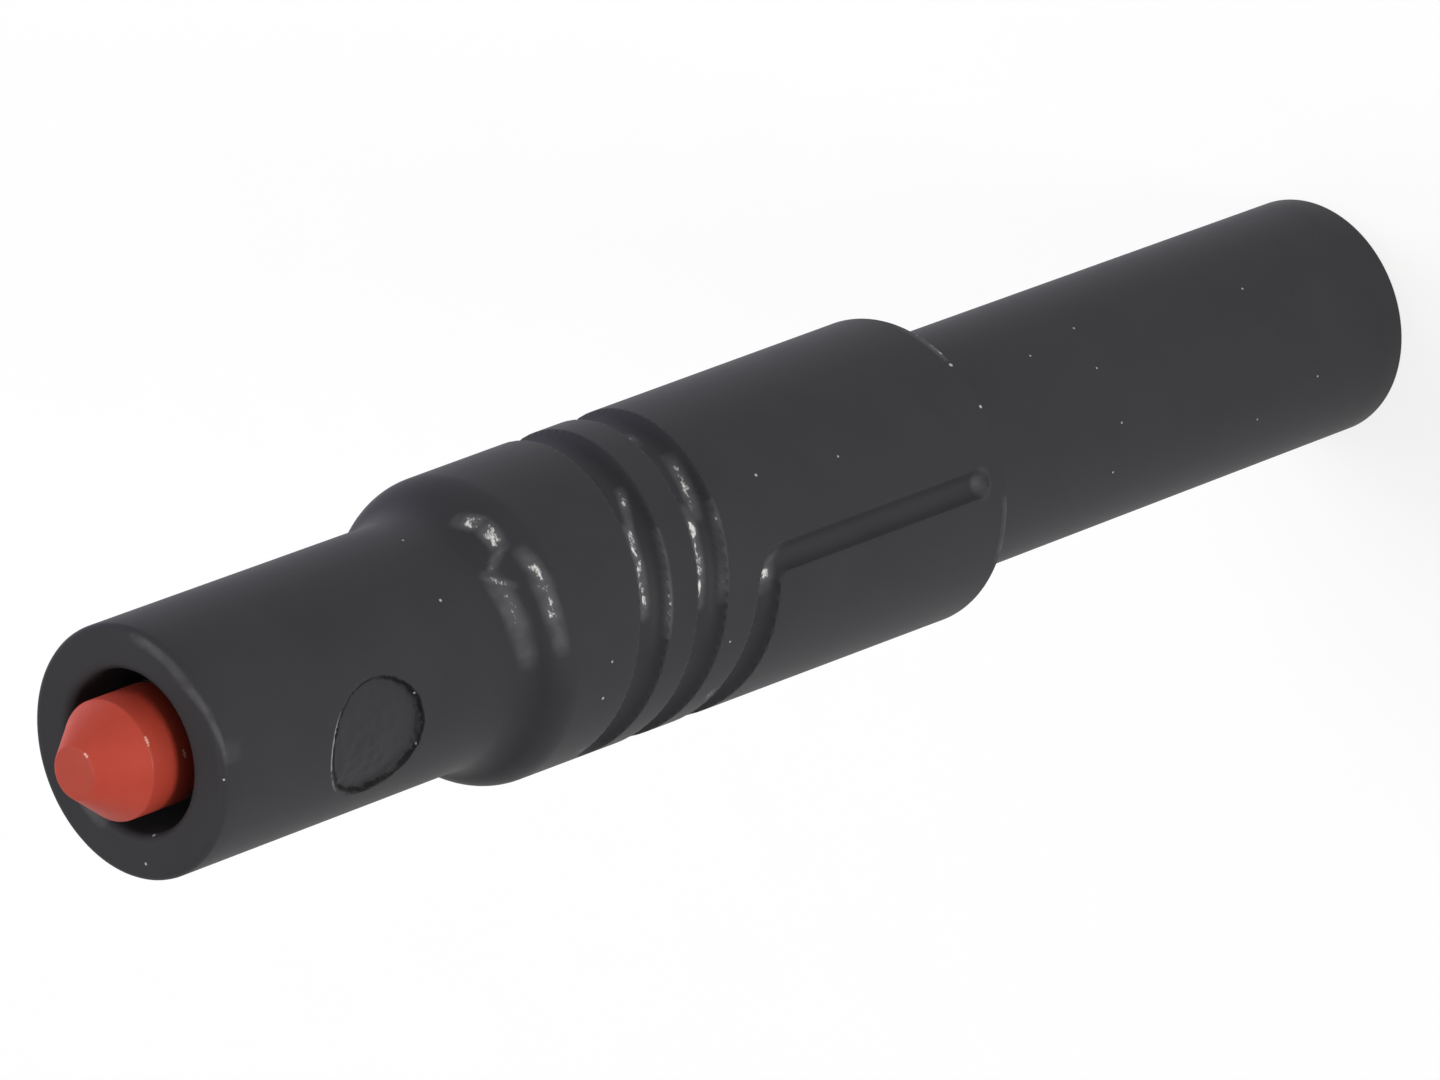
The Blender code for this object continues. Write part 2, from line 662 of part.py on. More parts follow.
def make_lock_washer(parent):
    """A washer with outer teeth, between the rear tube's web and the barrel."""
    inner = STUB_RADIUS + FIT_GAP
    root = inner + 0.4 * (BARREL_RADIUS - inner)
    columns = 4 * LOCK_WASHER_TEETH
    angles = [2 * math.pi * k / columns for k in range(columns)]
    bm = bmesh.new()
    loops = []
    for height in (0.0, WASHER_THICKNESS):
        inside = [bm.verts.new(polar(inner, a, height)) for a in angles]
        outside = []
        for k, a in enumerate(angles):
            reach = BARREL_RADIUS if k % 4 < 2 else root
            outside.append(bm.verts.new(polar(reach, a, height)))
        loops.append((inside, outside))
    (low_in, low_out), (high_in, high_out) = loops
    for k in range(columns):
        after = (k + 1) % columns
        bm.faces.new([low_in[k], low_out[k], low_out[after], low_in[after]])
        bm.faces.new([high_in[k], high_in[after], high_out[after], high_out[k]])
        bm.faces.new([low_out[k], high_out[k], high_out[after], low_out[after]])
        bm.faces.new([low_in[k], low_in[after], high_in[after], high_in[k]])
    add_object("lock_washer", bm, "spring_steel", parent, LOCK_WASHER_Z)


def rod_along_x(start, end, radius, segments):
    """A cylinder along X between two distances from the axis."""
    bm = bmesh.new()
    bmesh.ops.create_cone(
        bm, cap_ends=True, segments=segments, radius1=radius, radius2=radius, depth=end - start,
    )
    for vert in bm.verts:
        across, side, along = vert.co
        vert.co = (start + along + (end - start) / 2, side, -across)
    return bm


def screw_height(index):
    """Height of a clamp screw's axis: the row is centred on the wire hole."""
    middle = BARREL_Z + WIRE_HOLE_DEPTH / 2
    return middle + (index - (SCREW_COUNT - 1) / 2) * SCREW_PITCH


def make_wire_barrel(parent):
    """The barrel: threaded hole in front, wire hole behind, cross holes for the screws."""
    edge = FIT_GAP
    thread_hole = STUB_RADIUS + FIT_GAP
    thread_end = BARREL_LENGTH - THREAD_HOLE_DEPTH
    profile = [
        (0.0, WIRE_HOLE_DEPTH),
        (WIRE_HOLE_RADIUS, WIRE_HOLE_DEPTH),
        (WIRE_HOLE_RADIUS, 2 * edge),
        (WIRE_HOLE_RADIUS + 2 * edge, 0.0),
        (BARREL_RADIUS - edge, 0.0),
        (BARREL_RADIUS, edge),
        (BARREL_RADIUS, BARREL_LENGTH - edge),
        (BARREL_RADIUS - edge, BARREL_LENGTH),
        (thread_hole, BARREL_LENGTH),
        (thread_hole, thread_end),
        (0.0, thread_end),
    ]
    barrel = add_object("wire_barrel", revolve(profile), "brass", parent, BARREL_Z)
    cutters = []
    for index in range(SCREW_COUNT):
        bm = rod_along_x(WIRE_HOLE_RADIUS / 2, REAR_BORE_RADIUS, SCREW_RADIUS + FIT_GAP, 24)
        cutters.append(add_object("screw_hole_cutter_%d" % (index + 1), bm, None, height=screw_height(index)))
    cut(barrel, cutters)


def make_clamp_screws(parent):
    """Slotted grub screws in the barrel's cross holes."""
    for index in range(SCREW_COUNT):
        start = SCREW_REACH - SCREW_LENGTH
        bm = rod_along_x(start, SCREW_REACH, SCREW_RADIUS, 24)
        screw = add_object("clamp_screw_%d" % (index + 1), bm, "zinc_steel", parent, screw_height(index))
        slot = bmesh.new()
        bmesh.ops.create_cube(slot, size=1.0)
        for vert in slot.verts:
            vert.co.x = SCREW_REACH + vert.co.x * 2 * SCREW_SLOT_DEPTH
            vert.co.y = vert.co.y * 3 * SCREW_RADIUS
            vert.co.z = vert.co.z * SCREW_SLOT_WIDTH
        cutter = add_object("slot_cutter_%d" % (index + 1), slot, None, height=screw_height(index))
        cut(screw, [cutter])


def make_wire_leaf(parent):
    """The thin leaf that keeps the screws' ends off the wire."""
    bm = bmesh.new()
    bmesh.ops.create_cube(bm, size=1.0)
    for vert in bm.verts:
        vert.co.x = LEAF_OUTER_X + (vert.co.x - 0.5) * LEAF_THICKNESS
        vert.co.y = vert.co.y * LEAF_WIDTH
        vert.co.z = vert.co.z * LEAF_LENGTH
    middle = BARREL_Z + WIRE_HOLE_DEPTH / 2
    add_object("wire_leaf", bm, "spring_steel", parent, middle)


def make_cable_bush(parent):
    """The rubber bush in the rear tube's mouth, with two sealing ribs in its hole."""
    rib = BUSH_RADIUS - BUSH_WALL
    waist = rib + BUSH_RIB
    step = BUSH_LENGTH / 5
    profile = [
        (waist, 0.0), (BUSH_RADIUS, 0.0), (BUSH_RADIUS, BUSH_LENGTH), (waist, BUSH_LENGTH),
        (rib, BUSH_LENGTH - step), (waist, BUSH_LENGTH - 2 * step),
        (waist, 2 * step), (rib, step),
    ]
    add_object("cable_bush", revolve(profile), "black_rubber", parent, BUSH_RECESS)


def build():
    """Makes every piece of the plug."""
    clear_scene()
    rear = add_empty("rear_group", 0.0)
    sliding = add_empty("sliding_group", SHEATH_Z)
    make_sheath(sliding)
    make_washer("front_spring_washer", sliding, FRONT_WASHER_Z,
                PIN_RADIUS + GUIDE_GAP, CHAMBER_RADIUS - SLIDE_GAP)
    make_rear_tube(rear)
    make_slide_ring(rear)
    make_washer("rear_spring_washer", rear, REAR_WASHER_Z,
                STUB_RADIUS + FIT_GAP, POCKET_RADIUS - FIT_GAP)
    make_contact_pin(rear)
    make_contact_cage(rear)
    make_stop_clip(rear)
    make_insulating_tip(rear)
    make_return_spring(rear)
    make_lock_washer(rear)
    make_wire_barrel(rear)
    make_clamp_screws(rear)
    make_wire_leaf(rear)
    make_cable_bush(rear)


build()
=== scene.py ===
# %% [markdown]
# # Dressing a banana plug for the camera
#
# A banana plug is the pin on the end of a laboratory test lead. This one hides its
# pin in a black sheath. A hand that pushes the plug home slides the sheath back against
# a spring, and the sheath springs out again when the plug is pulled.
#
# The solid model already says where each piece is and how it moves. This script loads it
# as a fixed frame, and then gives every surface its finish: fine meshes for what the eye
# sees, and a material for every piece, seen or hidden.

# %% Load the solid model
import math
import bmesh
import bpy
from mathutils import Matrix, Vector, noise


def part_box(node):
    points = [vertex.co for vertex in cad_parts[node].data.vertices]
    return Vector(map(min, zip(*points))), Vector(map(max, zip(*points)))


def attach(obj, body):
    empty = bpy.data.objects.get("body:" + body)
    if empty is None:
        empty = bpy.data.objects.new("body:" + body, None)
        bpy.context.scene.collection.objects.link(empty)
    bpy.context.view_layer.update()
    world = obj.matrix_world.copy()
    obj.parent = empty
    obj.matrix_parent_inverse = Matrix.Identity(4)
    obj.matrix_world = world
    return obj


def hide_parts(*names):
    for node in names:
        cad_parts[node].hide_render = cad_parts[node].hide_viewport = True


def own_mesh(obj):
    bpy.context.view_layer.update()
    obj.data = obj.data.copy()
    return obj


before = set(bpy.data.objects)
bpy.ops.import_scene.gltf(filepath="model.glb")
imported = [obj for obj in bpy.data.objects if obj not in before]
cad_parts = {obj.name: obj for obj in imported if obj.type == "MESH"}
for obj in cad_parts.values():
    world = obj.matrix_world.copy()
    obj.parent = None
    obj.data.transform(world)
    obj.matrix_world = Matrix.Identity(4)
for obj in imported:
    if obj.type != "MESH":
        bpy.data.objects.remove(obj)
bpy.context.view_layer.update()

# %% [markdown]
# ## Sizes
#
# Blender works in metres here, and a plug is thought of in millimetres, so one factor
# turns the one into the other. Most places come from the frame: the box of each solid
# node gives its ends and its outer radius. What a box can't tell, such as the length of
# the neck or the gap between two pieces that fit, is a named size.

# %% Sizes of the sheath
MM = 0.001
TURN = 2 * math.pi

sheath_low, sheath_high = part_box("sheath")
tube_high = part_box("rear_tube")[1]
REAR_FACE = sheath_low.z
MOUTH = sheath_high.z
NECK_RADIUS = 4.0 * MM
GRIP_FRONT_RADIUS = 4.95 * MM
GRIP_REAR_RADIUS = 5.07 * MM
GRIP_LENGTH = 20.0 * MM
SHOULDER_LENGTH = 2.25 * MM
FIT_GAP = 0.1 * MM
GRIP_TOP = REAR_FACE + GRIP_LENGTH
NECK_START = GRIP_TOP + SHOULDER_LENGTH


def grip_radius(height):
    """The grip is a little thinner in front than behind."""
    share = max(0.0, min(1.0, (height - REAR_FACE) / GRIP_LENGTH))
    return GRIP_REAR_RADIUS + (GRIP_FRONT_RADIUS - GRIP_REAR_RADIUS) * share


print("sheath from", round(REAR_FACE / MM, 2), "to", round(MOUTH / MM, 2), "mm")

# %% [markdown]
# ## Small helpers
#
# Colours are easiest to read off as the hex values of a paint program. Those are sRGB,
# and a shader wants linear light, so one function turns them. Node trees are built by one
# function that makes a node, sets its properties, and either fills or links its inputs.
# Patterns such as grain have a size in millimetres, and a texture's scale is the number
# of repeats in a metre. Most looks here are noises, and bumps made from them, so these
# two have a function each.

# %% Colour, node and pattern helpers
def srgb(code, alpha=1.0):
    """Linear colour of an sRGB hex value such as 3E3D40."""
    levels = [int(code[start:start + 2], 16) / 255 for start in (0, 2, 4)]
    linear = [v / 12.92 if v <= 0.04045 else ((v + 0.055) / 1.055) ** 2.4 for v in levels]
    return (*linear, alpha)


def add_node(tree, kind, inputs=None, **settings):
    """One shader node. Inputs are values or the sockets that feed them."""
    made = tree.nodes.new("ShaderNode" + kind)
    for name, value in settings.items():
        setattr(made, name, value)
    for key, value in (inputs or {}).items():
        if isinstance(value, bpy.types.NodeSocket):
            tree.links.new(value, made.inputs[key])
        else:
            made.inputs[key].default_value = value
    return made


def repeats(size_mm):
    """Texture scale for a pattern whose features are this many millimetres apart."""
    return 1000 / size_mm


def noise_of(tree, place, size_mm, detail, **more):
    """The value of a noise whose features are this many millimetres apart."""
    inputs = {"Vector": place, "Scale": repeats(size_mm), "Detail": detail, **more}
    return add_node(tree, "TexNoise", inputs).outputs["Fac"]


def link_bump(tree, shader, height, strength, depth_mm):
    """Lets a height tilt the shader's normal, as if it were this many millimetres deep."""
    bump = add_node(tree, "Bump", {"Height": height, "Strength": strength, "Distance": depth_mm * MM})
    tree.links.new(bump.outputs[0], shader.inputs["Normal"])


def new_material(name, **sockets):
    """A material, its tree, its Principled shader and its Object coordinates."""
    made = bpy.data.materials.new(name)
    made.use_nodes = True
    tree = made.node_tree
    shader = tree.nodes["Principled BSDF"]
    for key, value in sockets.items():
        shader.inputs[key.replace("_", " ")].default_value = value
    place = add_node(tree, "TexCoord").outputs["Object"]
    return made, tree, shader, place


print("mid grey 808080 in linear light:", round(srgb("808080")[0], 3))

# %% [markdown]
# ## The camera
#
# The photograph was taken from in front of the plug's contact end, and rolled, so that
# the plug climbs from the lower left to the upper right. A long lens at more than a third
# of a metre keeps the two ends nearly the same size. The camera is turned by two
# directions worked out from the photograph: what is right and what is up in its view.

# %% Camera at the photograph's angle
CAMERA_PLACE = Vector((0.00010, -0.25326, 0.28091))
CAMERA_RIGHT = Vector((-0.3475, -0.6606, -0.6655)).normalized()
CAMERA_UP = Vector((0.9377, -0.2442, -0.2472)).normalized()
CAMERA_LENS_MM = 282.5
SENSOR_MM = 36

camera_data = bpy.data.cameras.new("camera")
camera_data.lens = CAMERA_LENS_MM
camera_data.sensor_width = SENSOR_MM
camera_data.clip_start = 0.01
camera = bpy.data.objects.new("camera", camera_data)
bpy.context.scene.collection.objects.link(camera)
camera_back = CAMERA_RIGHT.cross(CAMERA_UP).normalized()
camera_turn = Matrix((CAMERA_RIGHT, CAMERA_UP, camera_back)).transposed()
camera.matrix_world = Matrix.Translation(CAMERA_PLACE) @ camera_turn.to_4x4()
bpy.context.scene.camera = camera
bpy.context.scene.view_settings.view_transform = "Standard"
print("camera is", round(CAMERA_PLACE.length / MM), "mm from the foot of the plug")

# %% [markdown]
# ## White surroundings
#
# Product pictures like this one are taken in a light tent: white all round, with no hard
# shadow. Black plastic hardly scatters light, so what is seen of it is mostly the white
# tent in its soft gloss, brightest where the surface is seen at a grazing angle. The
# world is white where the camera or a reflection looks at it, and dimmer as a light.
# Light Path tells the shader which kind of ray is asking. The floor is white paper that
# glows in the same way, and the share that doesn't glow shows the plug's soft shadow.

# %% World and floor
WORLD_LIGHT = 0.32
WORLD_SEEN = 1.0
FLOOR_HALF_WIDTH = 1.2
FLOOR_SHADOW_SHARE = 0.22
PAPER_GLOW = 1.03


def seen_directly(tree):
    """1 where the camera, gloss or glass looks, and 0 for light that was scattered."""
    rays = add_node(tree, "LightPath")
    seen = rays.outputs["Is Camera Ray"]
    for kind in ("Is Glossy Ray", "Is Transmission Ray"):
        seen = add_node(tree, "Math", {0: seen, 1: rays.outputs[kind]}, operation="MAXIMUM").outputs[0]
    return seen


world = bpy.data.worlds.new("light_tent")
bpy.context.scene.world = world
world.use_nodes = True
sky = world.node_tree
strength = add_node(sky, "MapRange", {"Value": seen_directly(sky), "To Min": WORLD_LIGHT,
                                      "To Max": WORLD_SEEN})
background = sky.nodes["Background"]
background.inputs["Color"].default_value = srgb("FFFFFF")
sky.links.new(strength.outputs[0], background.inputs["Strength"])

floor_mesh = bmesh.new()
bmesh.ops.create_grid(floor_mesh, x_segments=1, y_segments=1, size=FLOOR_HALF_WIDTH)
floor_data = bpy.data.meshes.new("floor")
floor_mesh.to_mesh(floor_data)
floor_mesh.free()
floor = bpy.data.objects.new("floor", floor_data)
bpy.context.scene.collection.objects.link(floor)

paper, tree, shader, place = new_material("white_paper_sweep", Roughness=0.8)
fibre = noise_of(tree, place, 4.0, 3.0)
tint = add_node(tree, "MapRange", {"Value": fibre, "To Min": 0.90, "To Max": 0.94})
tree.links.new(tint.outputs[0], shader.inputs["Base Color"])
share = add_node(tree, "Math", {0: seen_directly(tree), 1: 1 - FLOOR_SHADOW_SHARE}, operation="MULTIPLY")
glow = add_node(tree, "Emission", {"Color": srgb("FFFFFF"), "Strength": PAPER_GLOW})
blended = add_node(tree, "MixShader", {0: share.outputs[0], 1: shader.outputs[0], 2: glow.outputs[0]})
tree.links.new(blended.outputs[0], tree.nodes["Material Output"].inputs["Surface"])
floor_data.materials.append(paper)
print("floor is", 2 * FLOOR_HALF_WIDTH, "m wide")

# %% [markdown]
# ## Soft lamps
#
# Three soft lamps shape the black form. The main one stands low in front, so the side
# of the plug is lit, its shadow falls behind it, and little light gets into the mouth. A
# lamp above lights the mouth's ring and the red cone. A faintly blue one behind, like a
# window, grazes the side that is uppermost in the picture, where the photograph has a
# cool sheen. It would draw a hard line in each groove, so it is hidden from gloss. A
# lamp's power grows with the square of its distance, so each is given as a level on the
# plug and turned to watts.

# %% Lamps
AIM = Vector((0.0, 0.0, 0.030))


def soft_lamp(name, direction, distance, width, level, colour):
    """A square lamp that lights a surface facing it to about this level."""
    data = bpy.data.lights.new(name, "AREA")
    data.shape = "SQUARE"
    data.size = width
    data.energy = level * math.pi ** 2 * distance ** 2
    data.color = srgb(colour)[:3]
    lamp = bpy.data.objects.new(name, data)
    bpy.context.scene.collection.objects.link(lamp)
    lamp.location = AIM + direction.normalized() * distance
    lamp.rotation_euler = (AIM - lamp.location).to_track_quat("-Z", "Y").to_euler()
    return lamp


main_lamp = soft_lamp("main_lamp", Vector((-0.35, -0.95, 0.15)), 0.60, 0.16, 0.62, "FFFDFA")
soft_lamp("top_lamp", Vector((0.20, 0.15, 0.95)), 0.50, 0.20, 0.55, "FFFDFA")
window_lamp = soft_lamp("window_lamp", Vector((0.70, 0.70, 0.06)), 0.45, 0.12, 0.90, "C4CEFF")
window_lamp.visible_glossy = False
print("main lamp:", round(main_lamp.data.energy, 2), "W")

# %% [markdown]
# ## Turned shapes
#
# Nearly every piece of the plug is round, so one recipe makes most of them: draw half of
# the section as an outline in the plane of X and Z, and spin it about the axis. Two
# helpers draw the outline, one for a straight stretch and one for an arc. A third spins
# it. A point on the axis spins into a heap of doubles, so those are merged, and then the
# normals are recalculated, because a spin can turn a shape inside out. Blender's spin
# numbers what it makes in an order that changes from run to run, so before a mesh is
# written, its parts are numbered by their places.

# %% Outline and spin helpers
def straight(outline, radius, height, step=None):
    """Carries an outline on to a point, in equal steps of about the given length."""
    begin_radius, begin_height = outline[-1]
    length = math.hypot(radius - begin_radius, height - begin_height)
    count = max(1, round(length / step)) if step else 1
    for k in range(1, count + 1):
        share = k / count
        outline.append((begin_radius + (radius - begin_radius) * share,
                        begin_height + (height - begin_height) * share))


def arc(outline, centre, radius, start, end, steps):
    """Carries an outline on round an arc, between two angles in degrees."""
    for k in range(steps + 1):
        angle = math.radians(start + (end - start) * k / steps)
        point = (centre[0] + radius * math.cos(angle), centre[1] + radius * math.sin(angle))
        if math.dist(point, outline[-1]) > 1e-7:
            outline.append(point)


def spin_solid(outline, columns):
    """A closed solid turned from a closed outline of (radius, height) points."""
    bm = bmesh.new()
    verts = [bm.verts.new((radius, 0.0, height)) for radius, height in outline]
    edges = [bm.edges.new((verts[k - 1], verts[k])) for k in range(len(verts))]
    bmesh.ops.spin(bm, geom=verts + edges, cent=(0, 0, 0), axis=(0, 0, 1), angle=TURN,
                   steps=columns, use_merge=True)
    bmesh.ops.remove_doubles(bm, verts=bm.verts, dist=1e-7)
    stray = [edge for edge in bm.edges if not edge.link_faces]
    bmesh.ops.delete(bm, geom=stray, context="EDGES")
    bm.normal_update()
    bmesh.ops.recalc_face_normals(bm, faces=bm.faces)
    return bm


def settle_order(bm):
    """Numbers vertices, edges and faces by their places alone."""
    for rank, vert in enumerate(sorted(bm.verts, key=lambda vert: vert.co[:])):
        vert.index = rank
    bm.verts.sort()
    for elements in (bm.edges, bm.faces):
        placed = sorted(elements, key=lambda element: sorted(vert.index for vert in element.verts))
        for rank, element in enumerate(placed):
            element.index = rank
        elements.sort()


def finish_piece(name, bm, material, body, replaced, sharp_degrees=40):
    """Makes the object, shades it, and ties it to its body and its solid node."""
    settle_order(bm)
    mesh = bpy.data.meshes.new(name)
    bm.to_mesh(mesh)
    bm.free()
    mesh.shade_smooth()
    mesh.set_sharp_from_angle(angle=math.radians(sharp_degrees))
    mesh.materials.append(material)
    piece = bpy.data.objects.new(name, mesh)
    bpy.context.scene.collection.objects.link(piece)
    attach(piece, body)
    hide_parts(replaced)
    print(name, "has", sum(len(face.vertices) - 2 for face in mesh.polygons), "triangles")
    return piece


# %% [markdown]
# ## Where the black plastic is marked, and where highlights are painted
#
# The photographed plug isn't new. Rough bright lines run down the walls of the grooves, and
# the shoulder is scuffed in two streaks. Both are partly real scuffs and partly painted
# highlights, laid where the hollow and the edge of a groove wall, and the curve of the
# shoulder, catch the light. A soft painted highlight follows the rim of the mouth, and
# small painted highlights sit on the lip, at the foot of a leg and on the grip.
# Each mark is a stroke on the skin: where it starts and ends, as an angle round the axis
# and a height, then its half width and how strong it is. At the mouth the height runs on
# over the rim and across the end face towards the bore. The strokes become a number on
# each vertex. In the material a low number is a faint haze, painted sheen where the stroke
# is a highlight, and a high one breaks up into bright grains.

# %% Scuffs and painted highlights of the sheath
# Real scuffs and painted highlights share this table.
SCUFFS_AND_HIGHLIGHTS = [
    # start angle, start height, end angle, end height, half width, strength
    # groove walls: scuffs, with painted highlights in the hollow and on the edge
    (-60, 36.98, -84, 37.80, 0.10, 0.64),
    (-76, 37.66, -109, 38.12, 0.15, 0.78),
    (-81, 36.93, -119, 37.52, 0.07, 0.49),
    (-53, 34.22, -80, 34.77, 0.13, 0.60),
    (-77, 35.02, -113, 35.62, 0.15, 0.74),
    (-78, 34.25, -114, 34.88, 0.07, 0.49),
    # corner of a groove: a scuff with a painted highlight
    (-103, 32.10, -110, 32.70, 0.14, 0.34),
    (-108, 32.60, -114, 32.85, 0.22, 0.62),
    # the two shoulder streaks: scuffs, with the painted highlight of the shoulder's curve
    (-43, 42.84, -52, 42.56, 0.15, 0.66),
    (-52, 42.56, -64, 42.63, 0.14, 0.68),
    (-64, 42.63, -71, 43.20, 0.13, 0.58),
    (-72, 43.45, -80, 42.95, 0.13, 0.62),
    (-71, 42.25, -86, 42.08, 0.15, 0.60),
    (-76, 43.30, -100, 43.14, 0.21, 0.56),
    (-98, 43.16, -112, 43.06, 0.18, 0.40),
    (-82, 42.22, -101, 42.18, 0.17, 0.54),
    (-100, 42.18, -110, 42.14, 0.14, 0.40),
    # foot of a leg and two spots: painted highlights; then a rubbed patch
    (-103, 22.55, -109, 22.55, 0.16, 0.48),
    (-163, 39.88, -166, 39.90, 0.10, 0.60),
    (-155, 34.38, -158, 34.40, 0.10, 0.60),
    (-33, 34.40, -38, 34.55, 0.18, 0.56),
    # rim of the mouth and the lip: painted highlights
    (-32, 56.38, -69, 56.50, 0.11, 0.44),
    (-69, 56.50, -87, 56.22, 0.11, 0.48),
    (-87, 56.22, -108, 55.98, 0.08, 0.40),
    (104, 57.40, 125, 57.40, 0.16, 0.55),
    (-34, 21.53, -58, 21.53, 0.05, 0.66),
    (-114, 21.53, -140, 21.53, 0.04, 0.50),
]


def smooth_step(low, high, value):
    """0 below low, 1 above high, and a smooth rise between."""
    share = max(0.0, min(1.0, (value - low) / (high - low)))
    return share * share * (3 - 2 * share)


def stroke_weight(angle, height, radius, stroke):
    """How much of a stroke lies on a point of the skin, from 0 to its strength."""
    begin_angle, begin, end_angle, end, half_width, strength = stroke
    reach = 2 * half_width * MM
    if not min(begin, end) * MM - reach < height < max(begin, end) * MM + reach:
        return 0.0
    middle = math.radians(begin_angle + end_angle) / 2
    across = radius * ((angle - middle + math.pi) % TURN - math.pi)
    half = radius * math.radians(end_angle - begin_angle) / 2
    share = max(-1.0, min(1.0, across / half))
    level = (begin + end + (end - begin) * share) / 2 * MM
    away = math.hypot(across - share * half, height - level) / (half_width * MM)
    fade = 0.55 + 0.45 * smooth_step(0.0, 0.4, 1 - abs(share))
    return strength * fade * max(0.0, 1 - away ** 2 / 4)


print(len(SCUFFS_AND_HIGHLIGHTS), "scuff_and_highlight_strokes")

# %% [markdown]
# ## The grooves of the grip
#
# Two equal grooves wind round the grip like a two-start thread. Each ends in a rounded
# corner and runs straight down the grip from there. They could be cut with a Boolean, but
# a cut across a fine round mesh leaves thin triangles that shade badly. Here the grip
# gets a fine regular mesh, and every vertex is pushed in by the depth of the groove at
# its place. On the unrolled skin a groove is a line, an arc and a line, so its depth
# needs only the distance to those three. The section is an arc of a circle, as a ball
# cutter leaves it in a mould's core: steep at its edges and gentle at its floor.

# %% Depth of the grooves and of the round recess
GROOVE_STARTS = 2
GROOVE_PITCH = 5.3 * MM
GROOVE_TURNS = 1.17
GROOVE_WIDTH = 1.34 * MM
GROOVE_DEPTH = 0.45 * MM
LEG_WIDTH = 0.90 * MM
LEG_DEPTH = 0.35 * MM
WIDENING_LENGTH = 4.0 * MM
CORNER_RADIUS = 0.8 * MM
CORNER_HEIGHT = REAR_FACE + 11.2 * MM
CORNER_ANGLE = math.radians(-106.1)
LEG_FOOT = REAR_FACE + 1.25 * MM
RECESS_RADIUS = 1.95 * MM
RECESS_DEPTH = 0.20 * MM
RECESS_HEIGHT = MOUTH - 6.65 * MM
RECESS_ANGLE = math.radians(-124.1)
RECESS_REACH = 1.3 * RECESS_RADIUS

skin_radius = (GRIP_FRONT_RADIUS + GRIP_REAR_RADIUS) / 2
slope = math.atan2(GROOVE_PITCH, TURN * skin_radius)
corner_turn = math.pi / 2 - slope
setback = CORNER_RADIUS * math.tan(corner_turn / 2)
groove_length = GROOVE_TURNS * math.hypot(TURN * skin_radius, GROOVE_PITCH)


def round_bottom(away, width, depth):
    """Depth of a groove of circular section at a distance from its middle."""
    if away >= width / 2:
        return 0.0
    bend = (width * width / 4 + depth * depth) / (2 * depth)
    return math.sqrt(bend * bend - away * away) - (bend - depth)


def path_depth(across, up):
    """Depth of one groove at a point of the unrolled skin, measured from its corner."""
    back = -across * math.cos(slope) + up * math.sin(slope)
    back = max(setback, min(groove_length, back))
    helix = math.hypot(across + back * math.cos(slope), up - back * math.sin(slope))
    widened = min(1.0, back / WIDENING_LENGTH)
    foot = max(LEG_FOOT - CORNER_HEIGHT, min(-setback, up))
    leg = math.hypot(across, up - foot)
    bend = math.atan2(up + setback, across + CORNER_RADIUS)
    if 0 <= bend <= corner_turn:
        leg = min(leg, abs(math.hypot(across + CORNER_RADIUS, up + setback) - CORNER_RADIUS))
    helix_width = LEG_WIDTH + (GROOVE_WIDTH - LEG_WIDTH) * widened
    helix_depth = LEG_DEPTH + (GROOVE_DEPTH - LEG_DEPTH) * widened
    return max(round_bottom(helix, helix_width, helix_depth), round_bottom(leg, LEG_WIDTH, LEG_DEPTH))


def groove_depth(angle, height):
    """Depth of the grooves at an angle round the grip and a height."""
    deepest = 0.0
    for start in range(GROOVE_STARTS):
        beyond = (angle - CORNER_ANGLE - start * TURN / GROOVE_STARTS) % TURN
        for turns_back in (0, 1, 2):
            across = (beyond - turns_back * TURN) * skin_radius
            deepest = max(deepest, path_depth(across, height - CORNER_HEIGHT))
    return deepest


def recess_depth(angle, height):
    """Depth of the round recess in the neck, with a slightly ragged rim and floor."""
    across = NECK_RADIUS * ((angle - RECESS_ANGLE + math.pi) % TURN - math.pi)
    up = height - RECESS_HEIGHT
    away = math.hypot(across, up)
    if away > RECESS_REACH:
        return 0.0
    ragged = noise.noise(Vector((across, up, 0.0)) * repeats(0.45))
    fine = noise.noise(Vector((across, up, 0.5)) * repeats(0.22))
    inside = 1 - smooth_step(0.95, 1.01, away / RECESS_RADIUS + 0.025 * ragged)
    return inside * RECESS_DEPTH * (1 + 0.14 * ragged + 0.10 * fine)


print("groove slope:", round(math.degrees(slope), 1), "degrees, length",
      round(groove_length / MM, 1), "mm")

# %% [markdown]
# ## Black moulded plastic
#
# The sheath and the tube are black glass-filled nylon, moulded against a mould that was
# lightly spark eroded. That leaves a matt skin with a very fine grain and a soft sheen.
# Where it was rubbed, the grain is crushed: it turns lighter and glints. The material
# mixes a near black with a light grey haze and a dusty grey by the stroke number on the
# vertices and a noise as fine as the rubbed grain. That number carries real scuffs and
# painted highlights together, so the haze is partly painted sheen and the grains are
# partly painted glints. Dust is a scatter of tiny round dots, one in some of the cells
# of a Voronoi pattern, and the larger dots of the photograph are set one by one.

